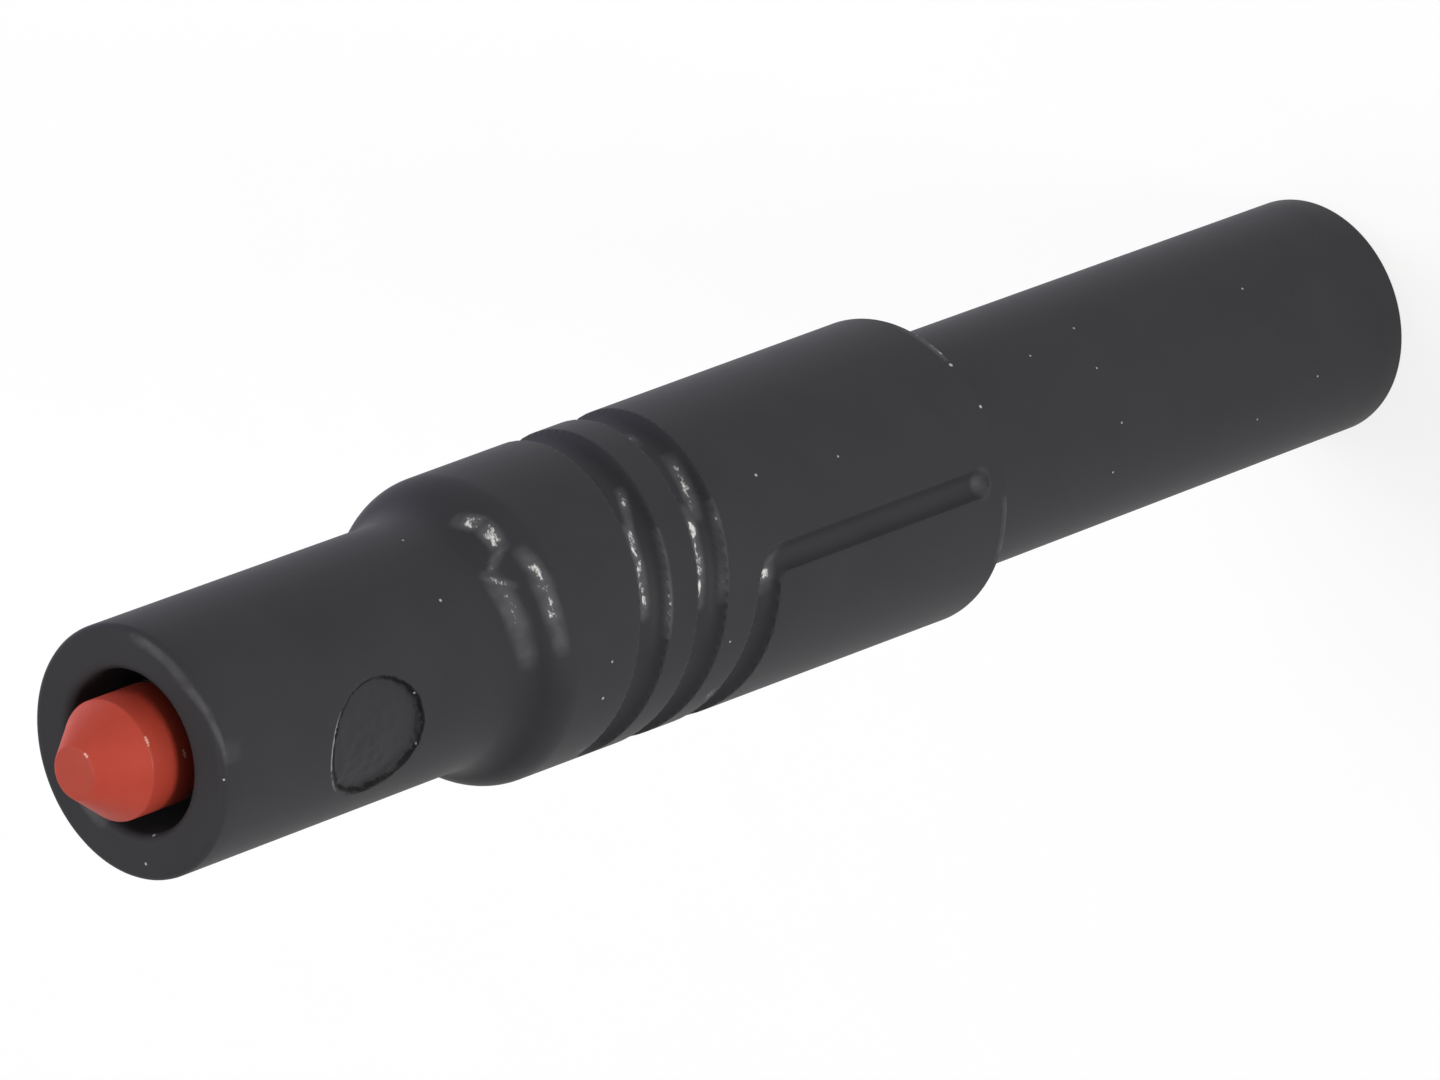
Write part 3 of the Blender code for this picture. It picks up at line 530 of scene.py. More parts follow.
# %% Nylon for the sheath and the rear tube
DUST = [
    # angle, height, radius in mm
    (-74.6, 45.58, 0.045), (-134.6, 40.28, 0.045), (-120.6, 40.08, 0.036),
    (-74.6, 31.98, 0.045), (-78.6, 28.38, 0.034), (-60.6, 21.62, 0.060),
    (-79.6, 21.60, 0.050), (-61.6, 17.08, 0.032), (-55.6, 14.48, 0.034),
    (-78.6, 14.78, 0.030), (-106.6, 14.48, 0.032), (-129.6, 14.88, 0.034),
    (-130.6, 7.48, 0.030), (-119.6, 4.48, 0.032), (-133.5, 47.70, 0.055),
    (-134.5, 48.14, 0.045), (-140.1, 47.96, 0.040), (-109.0, 47.87, 0.040),
    (-123.6, 47.59, 0.035), (-114.5, 49.95, 0.050),
]
RIM_DUST = [
    # x, y, z, radius in mm
    (-2.56, 0.41, 55.97, 0.055), (-3.29, 1.01, 56.15, 0.042),
]
GRAIN_MM = 0.09
RUBBED_MM = 0.12
UNEVEN_MM = 0.55
BLOTCH_MM = 2.2
DUST_CELL_MM = 1.6
DUST_RARITY = 0.90
RECESS_DEGREES = math.degrees(RECESS_ANGLE)
# Painted shade in the corner of the recess, and a painted highlight on its front edge.
RECESS_SHADE_HEIGHT_MM = 49.38
RECESS_SHADE_RADIUS_MM = 1.98
RECESS_SHADE_WOBBLE_MM = 0.22
LIT_EDGE_RADIUS_MM = 2.01
LIT_EDGE_FROM_MM = 50.9
LIT_EDGE_FULLY_MM = 51.4


def around(radius, angle_degrees, height):
    """The point at a radius from the axis, an angle round it and a height along it."""
    angle = math.radians(angle_degrees)
    return (radius * math.cos(angle), radius * math.sin(angle), height)


def skin_point(angle_degrees, height_mm):
    """The point of the black skin at an angle and a height, in metres."""
    height = height_mm * MM
    radius = grip_radius(height) if REAR_FACE < height < NECK_START else NECK_RADIUS
    return around(radius, angle_degrees, height)


def near_spots(tree, place, spots, outer, inner):
    """1 on small round spots, given as points with a size in mm, and 0 away from them."""
    nearest = None
    for spot, size in spots:
        away = add_node(tree, "VectorMath", {0: place, 1: spot}, operation="DISTANCE")
        scaled = add_node(tree, "Math", {0: away.outputs["Value"], 1: size * MM}, operation="DIVIDE")
        if nearest:
            scaled = add_node(tree, "Math", {0: nearest.outputs[0], 1: scaled.outputs[0]},
                              operation="MINIMUM")
        nearest = scaled
    return add_node(tree, "MapRange", {"Value": nearest.outputs[0], "From Min": outer, "From Max": inner})


def on_ring(tree, distance, radius_mm, outer_mm, inner_mm):
    """1 where a distance is close to a radius, and 0 further off."""
    off = add_node(tree, "Math", {0: distance, 1: radius_mm * MM}, operation="SUBTRACT")
    off = add_node(tree, "Math", {0: off.outputs[0]}, operation="ABSOLUTE")
    return add_node(tree, "MapRange", {"Value": off.outputs[0], "From Min": outer_mm * MM,
                                       "From Max": inner_mm * MM})


nylon, tree, shader, place = new_material(
    "black_moulded_nylon", Roughness=0.52, IOR=1.5, Specular_IOR_Level=0.09)
blotch = noise_of(tree, place, BLOTCH_MM, 4.0)
base = add_node(tree, "MixRGB", {0: blotch, 1: srgb("2D2D2F"), 2: srgb("353437")})

# The stroke number carries real scuffs and painted highlights together: the haze below is partly painted
# sheen, the bright grains partly painted glints.
stroke = add_node(tree, "Attribute", attribute_name="scuff_and_highlight")
uneven = add_node(tree, "MapRange", {"Value": noise_of(tree, place, UNEVEN_MM, 3.0), "From Min": 0.36,
                                     "From Max": 0.60, "To Min": 0.62, "To Max": 1.06})
scuff_and_highlight = add_node(tree, "Math", {0: stroke.outputs["Fac"], 1: uneven.outputs[0]}, operation="MULTIPLY")
drawn = add_node(tree, "Mapping", {"Vector": place, "Scale": (0.55, 1.0, 1.0)})
rubbed = noise_of(tree, drawn.outputs[0], RUBBED_MM, 3.0, Roughness=0.7)
summed = add_node(tree, "Math", {0: scuff_and_highlight.outputs[0], 1: rubbed}, operation="ADD")
scuffed_and_highlit = add_node(tree, "MapRange", {"Value": summed.outputs[0], "From Min": 1.06, "From Max": 1.24})
haze_and_sheen = add_node(tree, "Math", {0: scuff_and_highlight.outputs[0], 1: 0.70}, operation="MULTIPLY")
hazed_and_sheened = add_node(tree, "MixRGB", {0: haze_and_sheen.outputs[0], 1: base.outputs[0], 2: srgb("727276")})
scuffed_and_highlit_base = add_node(tree, "MixRGB", {0: scuffed_and_highlit.outputs[0], 1: hazed_and_sheened.outputs[0], 2: srgb("D2D2CF")})

# The recess has painted shade in its corner, in patches, and a painted highlight on its edge towards the
# mouth.
from_shade_centre = add_node(tree, "VectorMath", {0: place, 1: skin_point(RECESS_DEGREES, RECESS_SHADE_HEIGHT_MM)},
                      operation="DISTANCE")
wobble = noise_of(tree, place, 0.4, 3.0)
ragged = add_node(tree, "Math", {0: wobble, 1: RECESS_SHADE_WOBBLE_MM * MM, 2: from_shade_centre.outputs["Value"]},
                  operation="MULTIPLY_ADD")
in_corner = on_ring(tree, ragged.outputs[0], RECESS_SHADE_RADIUS_MM, 0.09, 0.03)
patch = add_node(tree, "MapRange", {"Value": noise_of(tree, place, 0.8, 2.0), "From Min": 0.22,
                                    "From Max": 0.42})
painted_shade = add_node(tree, "Math", {0: in_corner.outputs[0], 1: patch.outputs[0]}, operation="MULTIPLY")
# Painted shade: near black in the corner of the recess.
shaded_base = add_node(tree, "MixRGB", {0: painted_shade.outputs[0], 1: scuffed_and_highlit_base.outputs[0], 2: srgb("0E0E0F")})

recess_centre = skin_point(RECESS_DEGREES, RECESS_HEIGHT / MM)
from_centre = add_node(tree, "VectorMath", {0: place, 1: recess_centre}, operation="DISTANCE")
on_edge = on_ring(tree, from_centre.outputs["Value"], LIT_EDGE_RADIUS_MM, 0.05, 0.01)
levels = add_node(tree, "SeparateXYZ", {"Vector": place})
front = add_node(tree, "MapRange", {"Value": levels.outputs["Z"], "From Min": LIT_EDGE_FROM_MM * MM,
                                    "From Max": LIT_EDGE_FULLY_MM * MM})
edge = add_node(tree, "Math", {0: on_edge.outputs[0], 1: front.outputs[0]}, operation="MULTIPLY")
varied = add_node(tree, "MapRange", {"Value": wobble, "From Min": 0.40, "From Max": 0.52})
edge = add_node(tree, "Math", {0: edge.outputs[0], 1: varied.outputs[0]}, operation="MULTIPLY")
# Painted highlight: light grey on the front of the recess's edge.
highlit_base = add_node(tree, "MixRGB", {0: edge.outputs[0], 1: shaded_base.outputs[0], 2: srgb("808084")})

spots = [(skin_point(angle, height), size) for angle, height, size in DUST]
spots += [((x * MM, y * MM, z * MM), size) for x, y, z, size in RIM_DUST]
set_dust = near_spots(tree, place, spots, 1.4, 0.6)
cells = add_node(tree, "TexVoronoi", {"Vector": place, "Scale": repeats(DUST_CELL_MM)})
pick = add_node(tree, "SeparateColor", {"Color": cells.outputs["Color"]})
chosen = add_node(tree, "Math", {0: pick.outputs[0], 1: DUST_RARITY}, operation="GREATER_THAN")
dot = add_node(tree, "MapRange", {"Value": cells.outputs["Distance"], "From Min": 0.030, "From Max": 0.015})
scattered = add_node(tree, "Math", {0: chosen.outputs[0], 1: dot.outputs[0]}, operation="MULTIPLY")
dust = add_node(tree, "Math", {0: set_dust.outputs[0], 1: scattered.outputs[0]}, operation="MAXIMUM")
dusty = add_node(tree, "MixRGB", {0: dust.outputs[0], 1: highlit_base.outputs[0], 2: srgb("AEADA8")})
tree.links.new(dusty.outputs[0], shader.inputs["Base Color"])

rough = add_node(tree, "MapRange", {"Value": blotch, "To Min": 0.48, "To Max": 0.56})
glint = add_node(tree, "MixRGB", {0: scuffed_and_highlit.outputs[0], 1: rough.outputs[0], 2: (0.30, 0.30, 0.30, 1.0)})
tree.links.new(glint.outputs[0], shader.inputs["Roughness"])

coarse = add_node(tree, "Math", {0: scuffed_and_highlit.outputs[0], 1: rubbed}, operation="MULTIPLY")
grain = noise_of(tree, place, GRAIN_MM, 2.0)
skin_height = add_node(tree, "Math", {0: coarse.outputs[0], 1: 4.0, 2: grain}, operation="MULTIPLY_ADD")
link_bump(tree, shader, skin_height.outputs[0], 0.35, 0.006)
print("nylon has", len(tree.nodes), "nodes")

# %% [markdown]
# ## The sheath
#
# Neck, shoulder and grip are one moulding. The shoulder is an ogee, two equal arcs that
# meet on a slant, so its radius follows from its rise and its length. The rows of the
# mesh are fine where something is pressed into the skin and coarse elsewhere, also along
# the straight parts of the grooves. After the spin, the skin vertices are pushed in by the
# grooves and the recess.

# %% Section of the sheath
FINE = 0.08 * MM
COARSE = 0.7 * MM
SHEATH_COLUMNS = 340
RIM_ROUNDING = 0.22 * MM
SMALL_EDGE = 0.05 * MM
MOUTH_BORE_RADIUS = 2.57 * MM
MOUTH_LIP = 0.30 * MM
WEB_FRONT = MOUTH - 10.15 * MM
GUIDE_RADIUS = 2.2 * MM
CHAMBER_RADIUS = 4.15 * MM
CHAMBER_END = GRIP_TOP - FIT_GAP
INSIDE_GRIP_SKIN = 4.5 * MM
INSIDE_NECK_SKIN = 3.5 * MM
OGEE_STEPS = 11

rise = GRIP_FRONT_RADIUS - NECK_RADIUS
ogee_turn = 2 * math.atan2(rise, SHOULDER_LENGTH)
ogee_radius = SHOULDER_LENGTH / (2 * math.sin(ogee_turn))
ogee_degrees = math.degrees(ogee_turn)

section = [(GRIP_REAR_RADIUS - SMALL_EDGE, REAR_FACE)]
straight(section, GRIP_REAR_RADIUS, REAR_FACE + SMALL_EDGE)
for top, step in ((22.1, 0.3), (23.4, 0.1), (31.3, 0.8), (39.8, 0.065), (41.5, 0.4)):
    straight(section, grip_radius(top * MM), top * MM, step * MM)
arc(section, (GRIP_FRONT_RADIUS - ogee_radius, GRIP_TOP), ogee_radius, 0, ogee_degrees, OGEE_STEPS)
arc(section, (NECK_RADIUS + ogee_radius, NECK_START), ogee_radius, 180 + ogee_degrees, 180,
    OGEE_STEPS)
straight(section, NECK_RADIUS, RECESS_HEIGHT - 1.06 * RECESS_RADIUS, COARSE)
straight(section, NECK_RADIUS, RECESS_HEIGHT + 1.06 * RECESS_RADIUS, FINE)
straight(section, NECK_RADIUS, MOUTH - RIM_ROUNDING, COARSE)
arc(section, (NECK_RADIUS - RIM_ROUNDING, MOUTH - RIM_ROUNDING), RIM_ROUNDING, 0, 90, 5)
straight(section, MOUTH_BORE_RADIUS + MOUTH_LIP, MOUTH, 0.1 * MM)
arc(section, (MOUTH_BORE_RADIUS + MOUTH_LIP, MOUTH - MOUTH_LIP), MOUTH_LIP, 90, 180, 7)
straight(section, MOUTH_BORE_RADIUS, WEB_FRONT, 3 * MM)
straight(section, GUIDE_RADIUS, WEB_FRONT)
straight(section, GUIDE_RADIUS, CHAMBER_END)
straight(section, CHAMBER_RADIUS, CHAMBER_END)
straight(section, CHAMBER_RADIUS, REAR_FACE + 3 * SMALL_EDGE)
straight(section, CHAMBER_RADIUS + 3 * SMALL_EDGE, REAR_FACE)
print("section has", len(section), "points; the ogee turns", round(ogee_degrees, 1), "degrees")

# %% Spin the sheath and press in the grooves
def press(bm, depth_at, lowest, highest, skin):
    """Pushes the skin vertices between two heights in by the depth at their place."""
    moved = 0
    for vert in bm.verts:
        radius = math.hypot(vert.co.x, vert.co.y)
        if radius < skin or not lowest <= vert.co.z <= highest:
            continue
        depth = depth_at(math.atan2(vert.co.y, vert.co.x), vert.co.z)
        if depth > 0:
            vert.co.xy *= 1 - depth / radius
            moved += 1
    return moved


def mark_scuffs_and_highlights(piece, strokes, skin):
    """Writes the number of scuffs and painted highlights of each skin vertex to an attribute of the mesh.
    """
    marks = piece.data.attributes.new("scuff_and_highlight", "FLOAT", "POINT")
    values = [0.0] * len(piece.data.vertices)
    for index, vert in enumerate(piece.data.vertices):
        radius = math.hypot(vert.co.x, vert.co.y)
        if radius >= skin:
            angle = math.atan2(vert.co.y, vert.co.x)
            height = vert.co.z + max(0.0, NECK_RADIUS - radius)
            values[index] = max(stroke_weight(angle, height, radius, s) for s in strokes)
    marks.data.foreach_set("value", values)
    return sum(1 for value in values if value > 0)


bm = spin_solid(section, SHEATH_COLUMNS)
pressed = press(bm, groove_depth, REAR_FACE + SMALL_EDGE, GRIP_TOP, INSIDE_GRIP_SKIN)
pressed += press(bm, recess_depth, RECESS_HEIGHT - RECESS_REACH, RECESS_HEIGHT + RECESS_REACH,
                 INSIDE_NECK_SKIN)
print(pressed, "vertices pressed in")
bm.normal_update()
sheath = finish_piece("sheath_moulding", bm, nylon, "sliding_sheath", "sheath")
print(mark_scuffs_and_highlights(sheath, SCUFFS_AND_HIGHLIGHTS, MOUTH_BORE_RADIUS + 0.01 * MM), "vertices scuffed")

# %% [markdown]
# ## The rear tube
#
# The tube that the hand holds is the same nylon. Its end is cut off square with a crisp
# edge, and a split ring of white plastic sits in a groove at its hidden front end, so
# that the sheath slides on the ring and not on the tube.

# %% Section of the rear tube
TUBE_COLUMNS = 160
CRISP_EDGE = 0.08 * MM
REAR_BORE_RADIUS = 2.9 * MM
POCKET_RADIUS = 3.25 * MM
washer_low, washer_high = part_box("rear_spring_washer")
POCKET_FLOOR = washer_low.z - FIT_GAP
TUBE_WEB = 2.5 * MM
TUBE_WEB_BACK = POCKET_FLOOR - TUBE_WEB
STUB_HOLE_RADIUS = 1.6 * MM
RING_GROOVE_DEPTH = 0.3 * MM
ring_low, ring_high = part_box("slide_ring")

section = [(REAR_BORE_RADIUS + CRISP_EDGE, 0.0)]
straight(section, NECK_RADIUS - CRISP_EDGE, 0.0)
arc(section, (NECK_RADIUS - CRISP_EDGE, CRISP_EDGE), CRISP_EDGE, -90, 0, 3)
straight(section, NECK_RADIUS, ring_low.z - FIT_GAP, 1 * MM)
straight(section, NECK_RADIUS - RING_GROOVE_DEPTH, ring_low.z - FIT_GAP)
straight(section, NECK_RADIUS - RING_GROOVE_DEPTH, ring_high.z + FIT_GAP)
straight(section, NECK_RADIUS, ring_high.z + FIT_GAP)
straight(section, NECK_RADIUS, tube_high.z - CRISP_EDGE)
straight(section, NECK_RADIUS - CRISP_EDGE, tube_high.z)
straight(section, POCKET_RADIUS + CRISP_EDGE, tube_high.z)
straight(section, POCKET_RADIUS, tube_high.z - CRISP_EDGE)
straight(section, POCKET_RADIUS, POCKET_FLOOR)
straight(section, STUB_HOLE_RADIUS, POCKET_FLOOR)
straight(section, STUB_HOLE_RADIUS, TUBE_WEB_BACK)
straight(section, REAR_BORE_RADIUS, TUBE_WEB_BACK)
straight(section, REAR_BORE_RADIUS, CRISP_EDGE)
finish_piece("rear_tube_moulding", spin_solid(section, TUBE_COLUMNS), nylon, "rear_body",
             "rear_tube")

# %% [markdown]
# ## The red tip
#
# The point of the pin is an insulating cap, so that a finger can't touch metal when the
# sheath is pushed back a little. It is moulded from a satin red nylon that light enters
# a little way, which softens its shadows. The cone ends in a blunt face, and both of its
# edges are slightly rounded. Three short glints, each a row of tiny spots, are painted
# highlights: two on the cone's edges and one on the cylinder, laid into the colour as a pale pink.

# %% Red nylon
# Painted highlights on the red tip, each a row of tiny pale spots.
PAINTED_GLINTS = [
    # radius, angle, height, size in mm
    (1.88, -82.0, 56.97, 0.045), (1.88, -84.5, 56.97, 0.055), (1.88, -87.0, 56.97, 0.050),
    (1.88, -89.5, 56.98, 0.035), (0.84, -60.0, 58.43, 0.045), (0.84, -66.0, 58.43, 0.045),
    (1.90, -105.0, 55.70, 0.045), (1.90, -108.0, 55.68, 0.060), (1.90, -111.0, 55.66, 0.045),
]
red_nylon, tree, shader, place = new_material(
    "red_satin_nylon", Roughness=0.5, IOR=1.53, Specular_IOR_Level=0.25, Subsurface_Weight=0.15,
    Subsurface_Scale=0.4 * MM)
shader.inputs["Subsurface Radius"].default_value = (1.0, 0.25, 0.15)
cloud = noise_of(tree, place, 0.9, 3.0)
red = add_node(tree, "MixRGB", {0: cloud, 1: srgb("9E3526"), 2: srgb("AE4030")})
spots = [(around(radius * MM, angle, level * MM), size) for radius, angle, level, size in PAINTED_GLINTS]
glint_mask = near_spots(tree, place, spots, 1.3, 0.5)
glinted = add_node(tree, "MixRGB", {0: glint_mask.outputs[0], 1: red.outputs[0], 2: srgb("E0A898")})
tree.links.new(glinted.outputs[0], shader.inputs["Base Color"])
polish = noise_of(tree, place, 0.25, 2.0)
satin = add_node(tree, "MapRange", {"Value": polish, "To Min": 0.44, "To Max": 0.58})
tree.links.new(satin.outputs[0], shader.inputs["Roughness"])
link_bump(tree, shader, polish, 0.25, 0.008)
print("red nylon, lit:", srgb("AE4030")[:3])

# %% Tip: stem, cylinder and blunt cone
TIP_RADIUS = 1.9 * MM
TIP_CYLINDER = 2.1 * MM
TIP_END_RADIUS = 0.85 * MM
TIP_STEM_RADIUS = 0.8 * MM
TIP_EDGE = 0.12 * MM
END_DOME = 0.05 * MM
TIP_COLUMNS = 120

tip_low, tip_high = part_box("insulating_tip")
pin_low, pin_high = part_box("contact_pin")
tip_base = pin_high.z + FIT_GAP
cone_base = tip_base + TIP_CYLINDER
end_level = tip_high.z - END_DOME
cone_degrees = math.degrees(math.atan2(TIP_RADIUS - TIP_END_RADIUS, end_level - cone_base))
corner = TIP_EDGE * math.tan(math.radians(cone_degrees) / 2)
end_corner = TIP_EDGE * math.tan(math.radians(90 - cone_degrees) / 2)

section = [(0.0, tip_low.z)]
straight(section, TIP_STEM_RADIUS, tip_low.z)
straight(section, TIP_STEM_RADIUS, tip_base)
straight(section, TIP_RADIUS - TIP_EDGE, tip_base)
arc(section, (TIP_RADIUS - TIP_EDGE, tip_base + TIP_EDGE), TIP_EDGE, -90, 0, 3)
arc(section, (TIP_RADIUS - TIP_EDGE, cone_base - corner), TIP_EDGE, 0, 90 - cone_degrees, 4)
arc(section, (TIP_END_RADIUS - end_corner, end_level - TIP_EDGE), TIP_EDGE, 90 - cone_degrees, 90, 4)
straight(section, TIP_END_RADIUS / 2, end_level + 3 / 4 * END_DOME)
straight(section, 0.0, tip_high.z)
finish_piece("red_point", spin_solid(section, TIP_COLUMNS), red_nylon, "rear_body",
             "insulating_tip", sharp_degrees=50)
print("cone slant:", round(cone_degrees, 1), "degrees from the axis")

# %% [markdown]
# ## Metals
#
# The pin is turned brass with bright nickel on it, the cage is gold plated spring sheet,
# and the spring and clip are hard drawn steel wire and strip. A turned surface has fine
# rings from the tool. A noise that is squeezed along the axis makes them: it changes fast
# with height and hardly at all round the axis.

# %% Metal materials
def turned_metal(name, dark, light, roughness, ring_mm):
    """A plated or bare metal with turning rings, between two close colours."""
    made, tree, shader, place = new_material(name, Metallic=1.0, Roughness=roughness)
    squeezed = add_node(tree, "Mapping", {"Vector": place, "Scale": (0.06, 0.06, 1.0)})
    rings = noise_of(tree, squeezed.outputs[0], ring_mm, 2.0)
    cloud = noise_of(tree, place, 1.1, 4.0)
    tone = add_node(tree, "MixRGB", {0: cloud, 1: srgb(dark), 2: srgb(light)})
    tree.links.new(tone.outputs[0], shader.inputs["Base Color"])
    varied = add_node(tree, "MapRange", {"Value": rings, "To Min": 0.75 * roughness,
                                       "To Max": 1.3 * roughness})
    tree.links.new(varied.outputs[0], shader.inputs["Roughness"])
    link_bump(tree, shader, rings, 0.3, 0.003)
    return made


nickel = turned_metal("nickel_plated_brass", "A8A59C", "C4C1B8", 0.24, 0.06)
gold = turned_metal("gold_plated_spring_sheet", "C99A4A", "DDB266", 0.22, 0.15)
wire_steel = turned_metal("drawn_spring_steel", "8E9195", "ABAEB2", 0.28, 0.05)
zinc = turned_metal("zinc_plated_steel", "9BA1A8", "B9BEC4", 0.36, 0.30)
brass = turned_metal("turned_brass", "B08D45", "CBA65A", 0.26, 0.07)
print("metals:", [m.name for m in (nickel, gold, wire_steel, zinc, brass)])

# %% [markdown]
# ## Contact pin
#
# From the back the pin has a threaded stub, a long shank that the sheath slides on, a
# groove for the stop clip, a thinner neck under the cage, and a collar in front that
# keeps the cage on. The places of clip and cage come from their solids.

# %% Pin
PIN_RADIUS = 1.95 * MM
PIN_NECK_RADIUS = 1.40 * MM
STUB_RADIUS = 1.5 * MM
CLIP_SEAT_RADIUS = 1.65 * MM
PIN_EDGE = 0.08 * MM
COLLAR_ROUNDING = 0.30 * MM
PIN_COLUMNS = 96
clip_low, clip_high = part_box("stop_clip")
cage_low, cage_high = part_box("contact_cage")

section = [(0.0, pin_low.z)]
straight(section, STUB_RADIUS - PIN_EDGE, pin_low.z)
straight(section, STUB_RADIUS, pin_low.z + PIN_EDGE)
straight(section, STUB_RADIUS, washer_high.z + FIT_GAP)
straight(section, PIN_RADIUS - PIN_EDGE, washer_high.z + FIT_GAP)
arc(section, (PIN_RADIUS - PIN_EDGE, washer_high.z + FIT_GAP + PIN_EDGE), PIN_EDGE, -90, 0, 3)
straight(section, PIN_RADIUS, clip_low.z - FIT_GAP, 4 * MM)
straight(section, CLIP_SEAT_RADIUS, clip_low.z - FIT_GAP)
straight(section, CLIP_SEAT_RADIUS, clip_high.z + FIT_GAP)
straight(section, PIN_RADIUS, clip_high.z + FIT_GAP)
straight(section, PIN_RADIUS, cage_low.z - FIT_GAP - PIN_EDGE)
arc(section, (PIN_RADIUS - PIN_EDGE, cage_low.z - FIT_GAP - PIN_EDGE), PIN_EDGE, 0, 90, 3)
straight(section, PIN_NECK_RADIUS, cage_low.z - FIT_GAP)
straight(section, PIN_NECK_RADIUS, cage_high.z + FIT_GAP)
straight(section, PIN_RADIUS - PIN_EDGE, cage_high.z + FIT_GAP)
arc(section, (PIN_RADIUS - PIN_EDGE, cage_high.z + FIT_GAP + PIN_EDGE), PIN_EDGE, -90, 0, 3)
arc(section, (PIN_RADIUS - COLLAR_ROUNDING, pin_high.z - COLLAR_ROUNDING), COLLAR_ROUNDING, 0, 90, 6)
straight(section, TIP_STEM_RADIUS + FIT_GAP, pin_high.z)
straight(section, TIP_STEM_RADIUS + FIT_GAP, tip_low.z - FIT_GAP)
straight(section, 0.0, tip_low.z - FIT_GAP)
finish_piece("turned_pin", spin_solid(section, PIN_COLUMNS), nickel, "rear_body",
             "contact_pin")

# %% [markdown]
# ## Contact cage
#
# The cage is stamped from thin sheet: two bands joined by bowed leaves, rolled round the
# pin's neck, with a seam where its ends meet. The leaves press against the socket's wall.
# A line is spun to a thin skin, the faces in the slots and the seam are deleted, and
# Blender's solidify gives the sheet its thickness. The order of the parts is settled
# before that too, because solidify rounds a little differently in another order.

# %% Cage
CAGE_LEAVES = 8
CAGE_SHEET = 0.18 * MM
CAGE_BAND = 0.8 * MM
COLUMNS_PER_LEAF = 12
CAGE_COLUMNS = CAGE_LEAVES * COLUMNS_PER_LEAF
LEAF_SHARE = 0.72
SEAM_CLOSES = 0.95
BOW_STEPS = 20
cage_length = cage_high.z - cage_low.z
band_radius = PIN_NECK_RADIUS + FIT_GAP + CAGE_SHEET
bow = cage_high.x - band_radius

section = [(band_radius, cage_low.z), (band_radius, cage_low.z + CAGE_BAND)]
for k in range(1, BOW_STEPS + 1):
    share = k / BOW_STEPS
    level = cage_low.z + CAGE_BAND + (cage_length - 2 * CAGE_BAND) * share
    section.append((band_radius + bow * math.sin(math.pi * share), level))
section.append((band_radius, cage_high.z))

bm = bmesh.new()
verts = [bm.verts.new((radius, 0.0, level)) for radius, level in section]
edges = [bm.edges.new(pair) for pair in zip(verts, verts[1:])]
bmesh.ops.spin(bm, geom=verts + edges, cent=(0, 0, 0), axis=(0, 0, 1), angle=TURN,
               steps=CAGE_COLUMNS, use_merge=True)
cut_out = []
for face in bm.faces:
    middle = face.calc_center_median()
    leaf = math.atan2(middle.y, middle.x) / TURN % 1.0 * CAGE_LEAVES
    in_band = middle.z < cage_low.z + CAGE_BAND or middle.z > cage_high.z - CAGE_BAND
    seam = leaf > CAGE_LEAVES - 1 + (1 + LEAF_SHARE) / 2
    if (leaf % 1.0 > LEAF_SHARE and not in_band) or (seam and leaf % 1.0 < SEAM_CLOSES):
        cut_out.append(face)
bmesh.ops.delete(bm, geom=cut_out, context="FACES")
bm.normal_update()
outward = sum(face.normal.dot(face.calc_center_median().xy.to_3d()) for face in bm.faces)
if outward < 0:
    bmesh.ops.reverse_faces(bm, faces=bm.faces)
settle_order(bm)
bmesh.ops.solidify(bm, geom=bm.faces, thickness=CAGE_SHEET)
bm.normal_update()
bmesh.ops.recalc_face_normals(bm, faces=bm.faces)
finish_piece("leaf_cage", bm, gold, "rear_body", "contact_cage")

# %% [markdown]
# ## Return spring
#
# A compression spring has a closed turn at each end, where the wire lies on itself, and
# open turns between. A small circle of the wire is spun about the axis and lifted at each
# step, three times with three different lifts. The spring gets a mesh of its own.

# %% Spring
WIRE = 0.45 * MM
WIRE_SIDES = 14
END_TURNS = 1
OPEN_TURNS = 8
SPRING_STEPS = 40
spring_low, spring_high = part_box("return_spring")
coil_radius = spring_high.x - WIRE / 2
closed_lift = 1.06 * WIRE
open_lift = (spring_high.z - spring_low.z - WIRE - 2 * END_TURNS * closed_lift) / OPEN_TURNS

bm = bmesh.new()
bmesh.ops.create_circle(bm, cap_ends=False, segments=WIRE_SIDES, radius=WIRE / 2)
wire_start = Matrix.Translation((coil_radius, 0, spring_low.z + WIRE / 2))
upright = wire_start @ Matrix.Rotation(math.pi / 2, 4, "X")
bmesh.ops.transform(bm, matrix=upright, verts=bm.verts)
ring = bm.verts[:] + bm.edges[:]
for turns, lift in ((END_TURNS, closed_lift), (OPEN_TURNS, open_lift), (END_TURNS, closed_lift)):
    wound = bmesh.ops.spin(bm, geom=ring, cent=(0, 0, 0), axis=(0, 0, 1), angle=TURN * turns,
                           steps=SPRING_STEPS * turns, dvec=(0, 0, lift / SPRING_STEPS))
    ring = wound["geom_last"]
bmesh.ops.holes_fill(bm, edges=[edge for edge in bm.edges if edge.is_boundary], sides=0)
bm.normal_update()
bmesh.ops.recalc_face_normals(bm, faces=bm.faces)
spring = finish_piece("coil_spring", bm, wire_steel, "rear_body", "return_spring")
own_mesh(spring)

# %% [markdown]
# ## Cable bush
#
# A soft rubber bush closes the rear end round the cable. It has two ribs in its hole that
# grip the cable's sheath. Rubber from a mould is matt and very dark, with a faint bloom.

# %% Bush
BUSH_RADIUS = 2.8 * MM
CABLE_HOLE_RADIUS = 1.9 * MM
BUSH_WAIST = 2.1 * MM
BUSH_EDGE = 0.08 * MM
BUSH_COLUMNS = 96
BUSH_RIBS = 2
RIB_STEPS = 32
bush_low, bush_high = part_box("cable_bush")

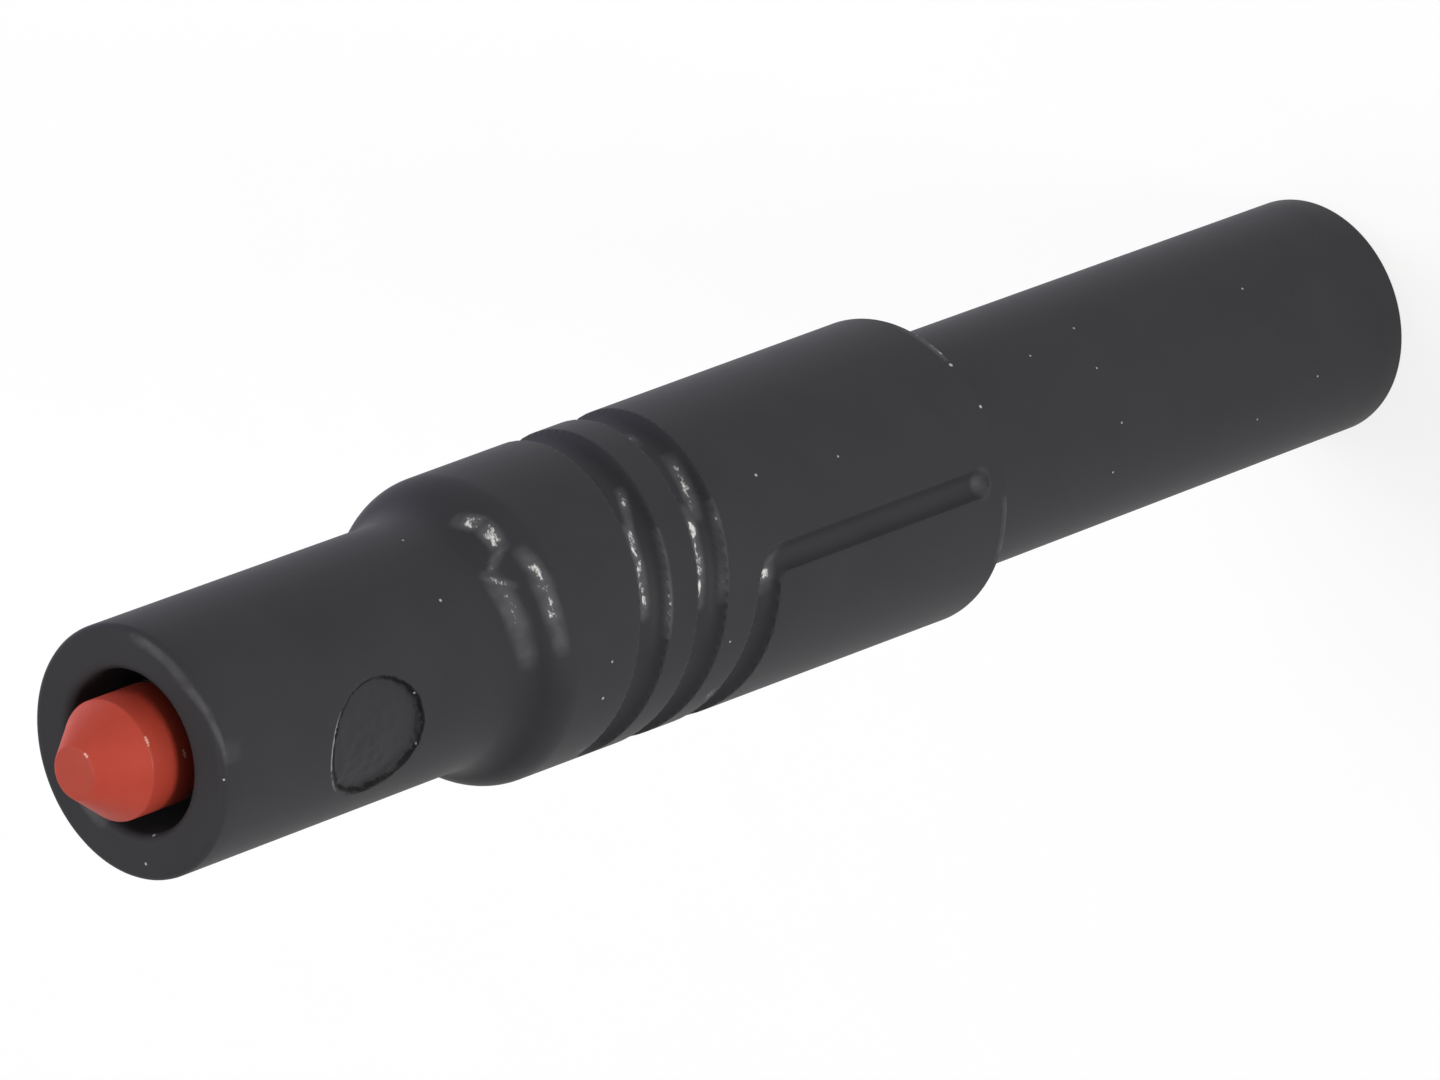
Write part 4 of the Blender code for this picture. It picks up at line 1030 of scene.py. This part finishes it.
rubber, tree, shader, place = new_material("black_moulded_rubber", Roughness=0.78, IOR=1.52)
bloom = noise_of(tree, place, 0.7, 5.0)
tone = add_node(tree, "MixRGB", {0: bloom, 1: srgb("1A1A1A"), 2: srgb("2B2A29")})
tree.links.new(tone.outputs[0], shader.inputs["Base Color"])
link_bump(tree, shader, noise_of(tree, place, 0.12, 2.0), 0.4, 0.01)

section = [(BUSH_WAIST, bush_low.z)]
straight(section, BUSH_RADIUS - BUSH_EDGE, bush_low.z)
arc(section, (BUSH_RADIUS - BUSH_EDGE, bush_low.z + BUSH_EDGE), BUSH_EDGE, -90, 0, 3)
arc(section, (BUSH_RADIUS - BUSH_EDGE, bush_high.z - BUSH_EDGE), BUSH_EDGE, 0, 90, 3)
straight(section, BUSH_WAIST, bush_high.z)
for k in range(1, RIB_STEPS):
    share = k / RIB_STEPS
    swell = (1 - math.cos(TURN * BUSH_RIBS * share)) / 2
    section.append((BUSH_WAIST - (BUSH_WAIST - CABLE_HOLE_RADIUS) * swell,
                    bush_high.z - (bush_high.z - bush_low.z) * share))
finish_piece("ribbed_bush", spin_solid(section, BUSH_COLUMNS), rubber, "rear_body",
             "cable_bush")

# %% [markdown]
# ## Pieces that keep their solids
#
# Washers, ring, clip, barrel, screws and leaf are simple stampings and turnings whose
# solids are already right, so they stay and only get their finish. The white ring is
# acetal, a slippery plastic that looks like milk glass.

# %% Acetal and the metal finishes on the solids
acetal, tree, shader, place = new_material(
    "white_acetal", Roughness=0.38, IOR=1.48, Subsurface_Weight=0.2, Subsurface_Scale=0.5 * MM)
milk = noise_of(tree, place, 1.3, 3.0)
tone = add_node(tree, "MixRGB", {0: milk, 1: srgb("DAD8D0"), 2: srgb("E9E7E0")})
tree.links.new(tone.outputs[0], shader.inputs["Base Color"])

FINISHES = {
    "slide_ring": acetal,
    "stop_clip": wire_steel,
    "front_spring_washer": zinc,
    "rear_spring_washer": zinc,
    "lock_washer": wire_steel,
    "wire_barrel": brass,
    "clamp_screw_1": zinc,
    "clamp_screw_2": zinc,
    "wire_leaf": wire_steel,
}
for name, material in FINISHES.items():
    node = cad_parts[name]
    node.data.materials.clear()
    node.data.materials.append(material)
print(len(FINISHES), "solids dressed")
